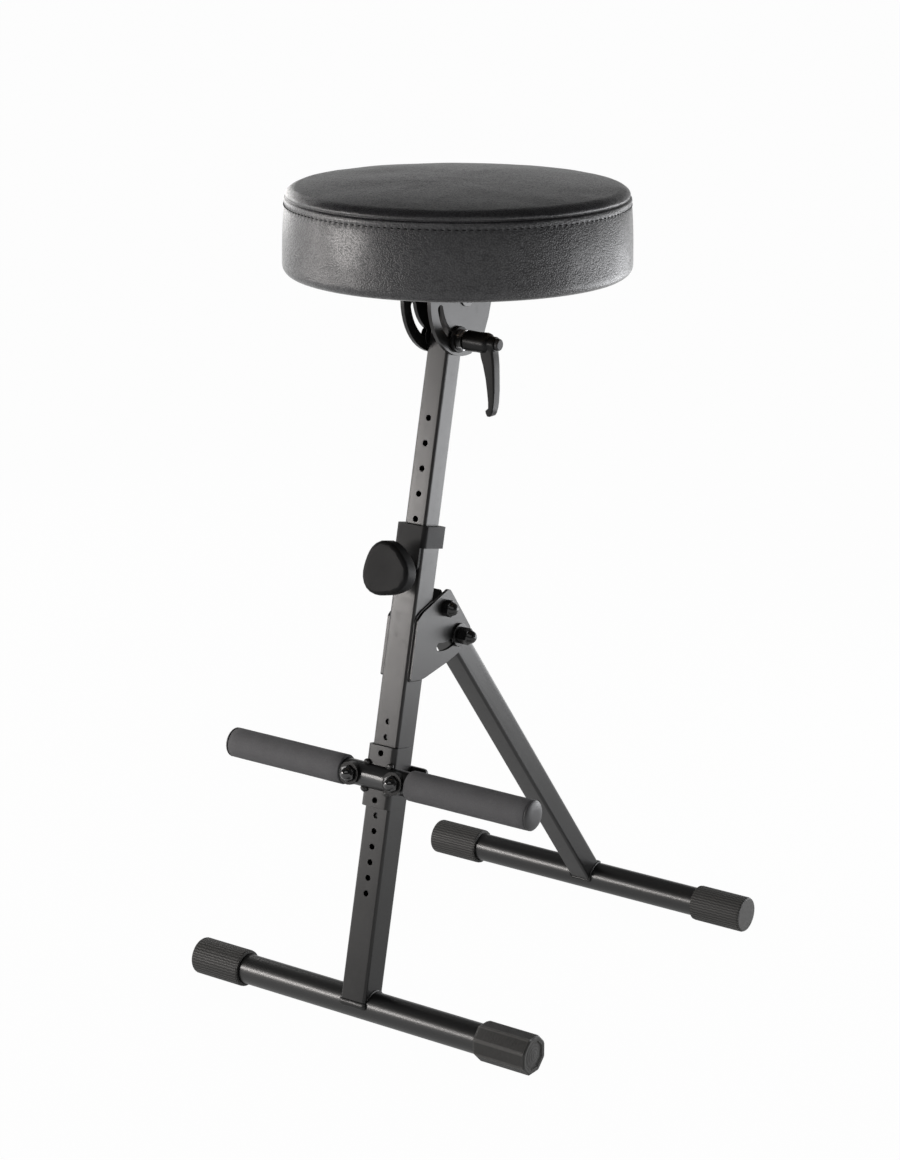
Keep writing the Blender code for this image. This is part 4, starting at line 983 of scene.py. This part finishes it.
@dataclass
class Grips:
    """The two foam sleeves on the footrest bar."""

    segments: int = 64
    edge: float = 0.0014
    easing: tuple[Pair, ...] = ((0.0, 1.0), (0.3, 0.3), (1.0, 0.0))
    clearance: float = 0.0003
    rows: int = 14

    def build(self) -> list[Part]:
        """Cut both sleeves.

        Returns:
            The sleeves.
        """
        bar_low, bar_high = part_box("footrest_tube")
        bar = (bar_high[1] - bar_low[1]) / 2
        return [self.sleeve(side, bar) for side in ("left", "right")]

    def sleeve(self, side: str, bar: float) -> Part:
        """One sleeve with eased ends.

        Args:
            side: Left or right.
            bar: The bar's radius.

        Returns:
            The sleeve.
        """
        low, high = (Vector(corner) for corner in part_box("grip_" + side))
        centre = (low + high) / 2
        outer = (high.y - low.y) / 2
        end = (high.x - low.x) / 2
        start = [(-end, bar + self.clearance)]
        start += [(self.edge * inset - end, outer - self.edge * drop) for inset, drop in self.easing]
        rows = [((end - self.edge) * (2 * row / self.rows - 1), outer) for row in range(1, self.rows)]
        rings = start + rows + mirrored(start)
        place = Matrix.Translation(centre) @ Matrix.Rotation(pi / 2, 4, "Y")
        sleeve = Bench.turned("foam_grip_" + side, rings, self.segments, place, ring=True)
        Bench.unevenness(sleeve, 0.02, 0.0003)
        Bench.smooth(sleeve, 50)
        Bench.dress(sleeve, Foam("grey_foam", (0.115, 0.115, 0.12), 0.80).material())
        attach(sleeve, Body.FOOTREST.value)
        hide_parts("grip_" + side)
        return sleeve


@dataclass
class Welds:
    """The weld beads and lumps, sprayed over with the coat; the beads along the hinge plates' edges also
    stand in for the shade there.
    """

    post_base: Point = (0.0, -0.2135, 0.0187)
    post_tilt: float = 12.66
    tube: float = 0.0155
    post_half: float = 0.015
    leg_half: float = 0.0125
    post_arc: Pair = (12.0, 140.0)
    leg_arc: Pair = (76.0, 180.0)
    bead: float = 0.0015
    overhang: float = 0.0012
    taper: tuple[Pair, ...] = ((0.0, 0.25), (0.0006, 0.7), (0.002, 1.0))
    rows: int = 12
    arc_points: int = 22
    rest: Point = (0.0, -0.180116, 0.249905)
    lump: Point = (0.0042, 0.0026, 0.0034)
    lump_place: Point = (0.0138, 0.0032, 0.0134)
    plate_side: float = 0.0153
    plate_bead: float = 0.0012
    # Path of the plate bead, back and up from the post's base: the run along the bottom edge and up the front
    # edge is partly a dark bead standing in for shade, and the run over the shoulder is a weld.
    plate_bead_and_shade_path: tuple[Pair, ...] = (
        (0.0080, 0.3330), (-0.0100, 0.3322), (-0.0126, 0.3350), (-0.0126, 0.362), (-0.0126, 0.390),
        (-0.0108, 0.3965), (-0.0050, 0.4015), (0.0050, 0.4073), (0.0142, 0.4128))

    def build(self) -> list[Part]:
        """Lay every weld.

        Returns:
            The welds.
        """
        material = Coat("weld_coat", (0.010, 0.0098, 0.0095), 0.34, 0.0022, 0.00004).material()
        frame, leg, rest = Body.FRAME, Body.REAR_LEG, Body.FOOTREST
        post, foot = self.post_half, self.leg_half
        made = [(self.fillet("post_front_weld", FRONT_FOOT, 161, post, (0.0040, 0.0022)), frame),
                (self.fillet("post_back_weld", FRONT_FOOT, 28, post, (0.0026, 0.0016)), frame),
                (self.fillet("leg_top_weld", REAR_FOOT, 74, foot, (0.0026, 0.0016)), leg),
                (self.fillet("leg_under_weld", REAR_FOOT, 182, foot, (0.0016, 0.0009)), leg)]
        for side, name in ((-1, "left"), (1, "right")):
            made += [(self.arc("post_weld_" + name, side * post, FRONT_FOOT, self.post_arc), frame),
                     (self.arc("leg_weld_" + name, side * foot, REAR_FOOT, self.leg_arc), leg),
                     (self.plate("plate_weld_and_shade_" + name, side), frame)]
            for place, up in (("upper", 1), ("lower", -1)):
                made.append((self.drop(f"saddle_weld_{name}_{place}", side, up), rest))
        for piece, body in made:
            Bench.smooth(piece, 70)
            Bench.dress(piece, material)
            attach(piece, body.value)
        return [piece for piece, _ in made]

    def lean(self) -> tuple[Vector, Vector]:
        """The directions up along the post and out of its front."""
        tilt = radians(self.post_tilt)
        return Vector((0, sin(tilt), cos(tilt))), Vector((0, -cos(tilt), sin(tilt)))

    def fillet(self, name: str, axis: Pair, turn: float, half: float, section: Pair) -> Part:
        """A straight bead along a foot tube, under the edge of a square tube.

        Args:
            name: The bead's name.
            axis: The foot tube's axis in Y and Z.
            turn: Where it lies round the foot tube, in degrees from the back.
            half: Half the square tube's width.
            section: Half width along the tube's skin and half height off it.

        Returns:
            The bead.
        """
        end = half + self.overhang
        flat = end - self.taper[-1][0]
        start = [(inset - end, share) for inset, share in self.taper]
        rows = [(flat * (2 * row / self.rows - 1), 1.0) for row in range(1, self.rows)]
        angle = radians(turn)
        out = Vector((0, cos(angle), sin(angle)))
        along = Vector((0, -sin(angle), cos(angle)))
        wide, high = section
        place = Matrix((along * wide, out * high, Vector((1, 0, 0)))).transposed().to_4x4()
        place.translation = Vector((0, *axis)) + out * (self.tube + high * 0.4)
        bead = Bench.turned(name, start + rows + mirrored(start), 24, place)
        Bench.unevenness(bead, 0.008, 0.0004)
        return bead

    def arc(self, name: str, across: float, axis: Pair, span: Pair) -> Part:
        """A bead bent round a foot tube beside a square tube.

        Args:
            name: The bead's name.
            across: Its place along the foot tube.
            axis: The foot tube's axis in Y and Z.
            span: Where it starts and ends, in degrees from the back.

        Returns:
            The bead.
        """
        out = self.tube + self.bead * 0.3
        first, last = span
        points = []
        for place in range(self.arc_points):
            angle = radians(first + (last - first) * place / (self.arc_points - 1))
            points.append(Vector((across, axis[0] + out * cos(angle), axis[1] + out * sin(angle))))
        return self.run(name, points, self.bead)

    def plate(self, name: str, side: int) -> Part:
        """A bead along a hinge plate's bottom and front edges and over its shoulder, on the left over the
        shoulder only; along the bottom and front it is partly a weld and partly a dark bead put in for the
        shade under and beside the plate.

        Args:
            name: The bead's name.
            side: -1 for left, 1 for right.

        Returns:
            The bead.
        """
        rise, front = self.lean()
        base = Vector(self.post_base) + Vector((side * self.plate_side, 0, 0))
        path = self.plate_bead_and_shade_path if side > 0 else self.plate_bead_and_shade_path[-4:]
        points = []
        for start, finish in zip(path, path[1:]):
            for share in (0.0, 0.25, 0.5, 0.75):
                back, up = (a + (b - a) * share for a, b in zip(start, finish))
                points.append(base - front * back + rise * up)
        return self.run(name, points, self.plate_bead)

    def run(self, name: str, points: list[Vector], radius: float) -> Part:
        """A round bead laid along a line.

        Args:
            name: The bead's name.
            points: The line.
            radius: The bead's radius.

        Returns:
            The bead.
        """
        path = bpy.data.curves.new(name, "CURVE")
        path.dimensions = "3D"
        path.bevel_depth = radius
        path.bevel_resolution = 3
        path.use_fill_caps = True
        line = path.splines.new("POLY")
        line.points.add(len(points) - 1)
        for point, place in zip(line.points, points):
            point.co = (*place, 1)
        bead = bpy.data.objects.new(name, path)
        bpy.context.scene.collection.objects.link(bead)
        Bench.only(bead)
        bpy.ops.object.convert(target="MESH")
        bead = Bench.settle(bpy.context.object, name)
        Bench.unevenness(bead, 0.004, 0.0006)
        return bead

    def drop(self, name: str, side: int, up: int) -> Part:
        """One weld lump where the foot bar meets the saddle.

        Args:
            name: The lump's name.
            side: -1 for left, 1 for right.
            up: 1 above the bar, -1 below it.

        Returns:
            The lump.
        """
        rise, front = self.lean()
        Bench.clear()
        bpy.ops.mesh.primitive_ico_sphere_add(subdivisions=4, radius=1)
        wide, deep, tall = self.lump
        across, out, along = self.lump_place
        place = Matrix((Vector((wide, 0, 0)), -front * deep, rise * tall)).transposed().to_4x4()
        place.translation = (Vector(self.rest) + Vector((side * across, 0, 0))
                             + front * out + rise * up * along)
        lump = Bench.settle(bpy.context.object, name, place)
        Bench.unevenness(lump, 0.004, 0.0012)
        return lump


@dataclass
class CapRibs:
    """The wavy ribs moulded round the three round end caps."""

    radius: float = 0.01874
    height: float = 0.0003
    sunk: float = 0.0006
    pitch: float = 0.0030
    sway: float = 0.6
    outer_inset: float = 0.0018
    mouth_inset: float = 0.0004

    def build(self) -> list[Part]:
        """Mould the ribs of every round cap.

        Returns:
            The ribbed sleeves.
        """
        return [self.sleeve("front_cap_left", FRONT_FOOT, Body.FRAME, "front_knurl"),
                self.sleeve("rear_cap_left", REAR_FOOT, Body.REAR_LEG, "rear_knurl_painted_lighter"),
                self.sleeve("rear_cap_right", REAR_FOOT, Body.REAR_LEG, "rear_knurl_painted_lighter")]

    def sleeve(self, cap: str, axis: Pair, body: Body, finish: str) -> Part:
        """Raise the ribs of one cap out of a thin sleeve and sway them along it.

        Args:
            cap: The cap's node.
            axis: The foot tube's axis in Y and Z.
            body: The body that it rides on.
            finish: The cap's material.

        Returns:
            The sleeve.
        """
        count = round(tau * self.radius / self.pitch)
        step = self.pitch / 2
        low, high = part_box(cap)
        first = low[0] + (self.outer_inset if low[0] < 0 else self.mouth_inset)
        last = high[0] - (self.outer_inset if high[0] > 0 else self.mouth_inset)
        rows = [step * row for row in range(ceil(first / step), floor(last / step) + 1)]
        inner = self.radius - self.sunk
        rings = [(rows[0], inner), *((row, self.radius) for row in rows), (rows[-1], inner)]
        middle = Vector((0, *axis))
        place = Matrix.Translation(middle) @ Matrix.Rotation(pi / 2, 4, "Y")
        sleeve = Bench.turned(cap + "_ribs", rings, count * 4, place, ring=True)

        def miss(point: Vector, level: Callable[[float], float]) -> Vector:
            """How far a point is off the sleeve's skin and off a place on a rib."""
            out = (point - middle).yz
            return Vector((1 - level(atan2(out.y, out.x) * count), out.length - self.radius))

        bpy.ops.object.mode_set(mode="EDIT")
        for level, rise in ((sin, self.height), (lambda turn: abs(cos(turn)), self.height / 2)):
            Bench.pick(sleeve, lambda point: miss(point, level))
            share = 1 + rise / self.radius
            bpy.ops.transform.resize(value=(1, share, share), center_override=middle)
        for side in (1, -1):
            Bench.pick(sleeve, lambda point: Vector((1 - side * sin(point.x * pi / self.pitch), 0)))
            bpy.ops.transform.rotate(value=side * self.sway / count, orient_axis="X", center_override=middle)
        bpy.ops.object.mode_set(mode="OBJECT")
        Bench.smooth(sleeve)
        Bench.dress(sleeve, bpy.data.materials[finish])
        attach(sleeve, body.value)
        return sleeve


@dataclass
class SmallIron:
    """Loose iron that the frame leaves out: the washer under the seat pivot's nut."""

    outer: float = 0.0126
    thickness: float = 0.0013
    edge: float = 0.0003
    gap: float = 0.0002

    def build(self) -> list[Part]:
        """Make the washer.

        Returns:
            The washer in a list.
        """
        low, high = (Vector(corner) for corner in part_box("seat_pivot_nut"))
        centre = (low + high) / 2
        inner = (high.z - low.z) / 2 + self.gap
        half = self.thickness / 2
        start = [(-half, inner), (-half, self.outer - self.edge), (-half + self.edge, self.outer)]
        place = Matrix.Translation((low.x + half, centre.y, centre.z)) @ Matrix.Rotation(pi / 2, 4, "Y")
        washer = Bench.turned("seat_pivot_washer", start + mirrored(start), 48, place, ring=True)
        Bench.smooth(washer)
        Bench.dress(washer, Coat("washer_plate", (0.008, 0.008, 0.008), 0.24).material())
        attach(washer, Body.SEAT.value)
        return [washer]


@dataclass
class Wardrobe:
    """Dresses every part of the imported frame."""

    edge: float = 0.00035
    smooth_to: float = 38.0
    sharp_from: float = 32.0

    def finishes(self) -> dict[Slot, Finish]:
        """The finish of each slot.

        Returns:
            Finishes by slot.
        """
        return {
            Slot.BLACK_COAT: Coat("black_powder_coat", (0.012, 0.0117, 0.0115), 0.33),
            Slot.GLOSS_COAT: Coat("black_gloss_coat", (0.004, 0.004, 0.004), 0.32, 0.003, 0.000001,
                                  specular=0.9, blotch=0.04, stretch=(0.12, 1.0, 1.0)),
            Slot.LEATHERETTE: Leatherette("board_cover", (0.02, 0.02, 0.022), 0.45),
            Slot.BOARD_WOOD: Plywood("sanded_plywood", (0.42, 0.29, 0.17), 0.62),
            Slot.BLACK_PLASTIC: Moulded("black_moulding", (0.008, 0.008, 0.0084), 0.5, specular=0.2),
            Slot.GREY_PLASTIC: Moulded("grey_moulding", (0.026, 0.026, 0.027), 0.5),
            Slot.FOAM_RUBBER: Foam("bar_foam", (0.060, 0.060, 0.064), 0.80),
            Slot.DARK_STEEL: Coat("blackened_steel", (0.006, 0.006, 0.0063), 0.26, 0.003, 0.000004),
            Slot.ZINC_STEEL: Steel("zinc_plate", (0.60, 0.61, 0.62), 0.30),
        }

    def special(self) -> dict[str, Finish]:
        """Finishes of parts that differ from their slot.

        Returns:
            Finishes by node.
        """
        grey = (0.044, 0.0435, 0.042)
        front = Knurled("front_knurl", grey, 0.5, axis=FRONT_FOOT)
        # Painted light: the rear caps get the front caps' grey made lighter, standing in for light that they
        # lack.
        rear = Knurled("rear_knurl_painted_lighter", shade(grey, 1.3), 0.5, axis=REAR_FOOT)
        level = Faceted("leveller_plastic", grey, 0.48, axis=FRONT_FOOT, end=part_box("leveller_cap")[1][0])
        low, high = (corner[2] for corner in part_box("clamp_insert"))
        neck = Neck("clamp_neck", (0.80, 0.80, 0.81), 0.24, (low + high) / 2, (high - low) / 2)
        lever = Moulded("lever_moulding", (0.005, 0.005, 0.0052), 0.34, specular=0.19)
        knob = Moulded("knob_moulding", (0.007, 0.007, 0.0072), 0.48, 0.0012, 0.00006, 0.13)
        dome = Coat("nut_black", (0.010, 0.010, 0.0105), 0.16, 0.003, 0.000004, specular=0.9)
        washer = Coat("washer_black", (0.005, 0.005, 0.005), 0.40, 0.002, 0.00001, specular=0.22)
        plug = Moulded("plug_moulding", (0.055, 0.055, 0.057), 0.42, specular=0.5)
        cheek = Coat("cheek_coat", (0.009, 0.0088, 0.0086), 0.31, specular=0.40)
        pieces: dict[str, Finish] = {"front_cap_left": front, "rear_cap_left": rear, "rear_cap_right": rear,
                                     "leveller_cap": level, "clamp_insert": neck, "clamp_lever": lever,
                                     "lock_knob": knob}
        for side in ("left", "right"):
            pieces["footrest_nut_" + side] = dome
            pieces["footrest_washer_" + side] = washer
            pieces["footrest_plug_" + side] = plug
            pieces["tilt_bracket_" + side] = cheek
        return pieces

    def dress(self, frame: dict) -> None:
        """Give each node its finish and eased edges.

        Args:
            frame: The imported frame.
        """
        common = {slot.value: finish for slot, finish in self.finishes().items()}
        special = self.special()
        made = {finish: finish.material() for finish in dict.fromkeys((*common.values(), *special.values()))}
        slots = {entry["node"]: entry["material_slot"] for entry in frame["record"]["subparts"]}
        for node, part in frame["nodes"].items():
            Bench.dress(part, made[special.get(node, common[slots[node]])])
            Bench.smooth(part, self.smooth_to)
            Bench.modify(part, "WELD", apply=False, merge_threshold=1e-6)
            Bench.modify(part, "BEVEL", apply=False, width=self.edge, segments=2, limit_method="ANGLE",
                         angle_limit=radians(self.sharp_from), use_clamp_overlap=True)
            Bench.modify(part, "WEIGHTED_NORMAL", apply=False, weight=60)


@dataclass
class Studio:
    """Floor, lights and camera."""

    floor_radius: float = 60.0
    floor_tone: float = 0.62
    floor_drop: float = 0.0003
    height_fade: tuple[float, ...] = (0.05, 0.42, 0.66, 0.10)
    near_fade: tuple[float, ...] = (-0.1, 0.6, 1.0, 0.2)
    eye: Point = (1.5783, -2.3078, 1.2211)
    turn: float = 35.06
    tilt: float = 16.17
    roll: float = 0.136
    lens: float = 88.38

    def build(self) -> None:
        """Set up the studio."""
        bpy.context.scene.view_settings.view_transform = "Standard"
        self.camera()
        self.floor()
        self.sky()
        warm = (1.0, 0.96, 0.935)
        self.softbox("front_panel", -38, 2.2, 0.64, (1.0, 0.32), 20, warm)
        self.softbox("left_panel", -64, 2.2, 0.55, (0.6, 1.1), 9.5, warm)
        self.softbox("rim_panel", -112, 2.2, 1.0, (1.4, 1.0), 12, (1.0, 0.985, 0.97))
        self.softbox("fill_panel", 30, 2.6, 2.6, (3.0, 2.0), 22, (1.0, 1.0, 1.0))
        self.softbox("right_panel", 142, 1.1, 0.29, (1.45, 0.56), 10.5, (0.965, 0.975, 1.0))

    def camera(self) -> None:
        """Stand the camera where the photograph was taken."""
        Bench.clear()
        bpy.ops.object.camera_add()
        camera = bpy.context.object
        turn, tilt, roll = radians(self.turn), radians(self.tilt), radians(self.roll)
        back = Vector((sin(turn) * cos(tilt), -cos(turn) * cos(tilt), sin(tilt)))
        level = Vector((cos(turn), sin(turn), 0))
        right = level * cos(roll) + back.cross(level) * sin(roll)
        columns = Matrix((right, back.cross(right), back)).transposed()
        camera.matrix_world = Matrix.Translation(self.eye) @ columns.to_4x4()
        camera.data.lens = self.lens
        camera.data.clip_end = 200
        bpy.context.scene.camera = camera

    def floor(self) -> None:
        """A wide pale floor that shows white and keeps a soft shadow; in reflections its glow is painted
        darker near the stool as painted shade.
        """
        Bench.clear()
        bpy.ops.mesh.primitive_circle_add(vertices=96, radius=self.floor_radius, fill_type="NGON")
        floor = Bench.settle(bpy.context.object, "floor", Matrix.Translation((0, 0, -self.floor_drop)))
        sheet = Sheet("pale_floor")
        tone = (self.floor_tone, self.floor_tone, self.floor_tone, 1)
        matt = sheet.node("ShaderNodeBsdfDiffuse", inputs={"Color": tone})
        glow = sheet.node("ShaderNodeEmission", inputs={"Color": (1, 1, 1, 1), "Strength": 1.0})
        seen = sheet.node("ShaderNodeLightPath", output="Is Camera Ray")
        glossy = sheet.node("ShaderNodeLightPath", output="Is Glossy Ray")
        through = sheet.node("ShaderNodeLightPath", output="Is Transmission Ray")
        out = sheet.node("ShaderNodeVectorMath", {"operation": "LENGTH"}, {0: sheet.place()}, "Value")
        # Painted shade: glossy and transmitted rays see less of the floor's glow near the stool, standing in
        # for the shadow under it.
        open_floor = sheet.ramp(out, (0.2, 0.45), (0.9, 0.97))
        share = seen * 0.98 + (glossy + through).least(1.0) * open_floor
        sheet.node_end(sheet.node("ShaderNodeMixShader", inputs={0: share, 1: matt, 2: glow}))
        Bench.dress(floor, sheet.owner)

    def sky(self) -> None:
        """A pale backdrop behind the stool, dimmer overhead and dark on the camera's side."""
        sheet = Sheet("studio", world=True)
        bpy.context.scene.world = sheet.owner
        view = sheet.node("ShaderNodeTexCoord", output="Generated")
        camera_side = (sin(radians(self.turn)), -cos(radians(self.turn)), 0)
        near = sheet.node("ShaderNodeVectorMath", {"operation": "DOT_PRODUCT"},
                          {0: view, 1: camera_side}, "Value")
        fades = ((sheet.along("Z", view), *self.height_fade), (near, *self.near_fade))
        names = ("Value", "From Min", "From Max", "To Min", "To Max")
        height, behind = (sheet.node("ShaderNodeMapRange", {"interpolation_type": "SMOOTHSTEP"},
                                     dict(zip(names, fade))) for fade in fades)
        strength = (height * behind).most(sheet.node("ShaderNodeLightPath", output="Is Camera Ray"))
        sheet.node_end(sheet.node("ShaderNodeBackground",
                                  inputs={"Color": (1, 1, 1, 1), "Strength": strength}))

    def softbox(self, name: str, turn: float, away: float, height: float, size: Pair,
                power: float, colour: Colour) -> None:
        """Stand one large soft light upright, facing the stool.

        Args:
            name: The light's name.
            turn: Its direction in degrees, 0 in front of the stool and 90 at its right.
            away: Its distance.
            height: Height of its middle.
            size: Width and height.
            power: Watts.
            colour: Its tint.
        """
        place = Vector((away * sin(radians(turn)), -away * cos(radians(turn)), height))
        Bench.clear()
        bpy.ops.object.light_add(type="AREA", location=place)
        light = bpy.context.object
        light.name = name
        light.data.shape = "RECTANGLE"
        light.data.size, light.data.size_y = size
        light.data.energy = power
        light.data.color = colour
        light.rotation_euler = Vector((-place.x, -place.y, 0)).to_track_quat("-Z", "Y").to_euler()
        light.visible_camera = False


def main() -> None:
    """Set the studio, dress the frame, make the new pieces and report."""
    logging.basicConfig(level=logging.INFO, format="%(name)s: %(message)s")
    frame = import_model()
    Studio().build()
    Wardrobe().dress(frame)
    for assembly in (Seat(), Grips(), Welds(), CapRibs(), SmallIron()):
        for piece in assembly.build():
            LOG.info("%s: %d faces", piece.name, len(piece.data.polygons))


if __name__ == "__main__":
    main()
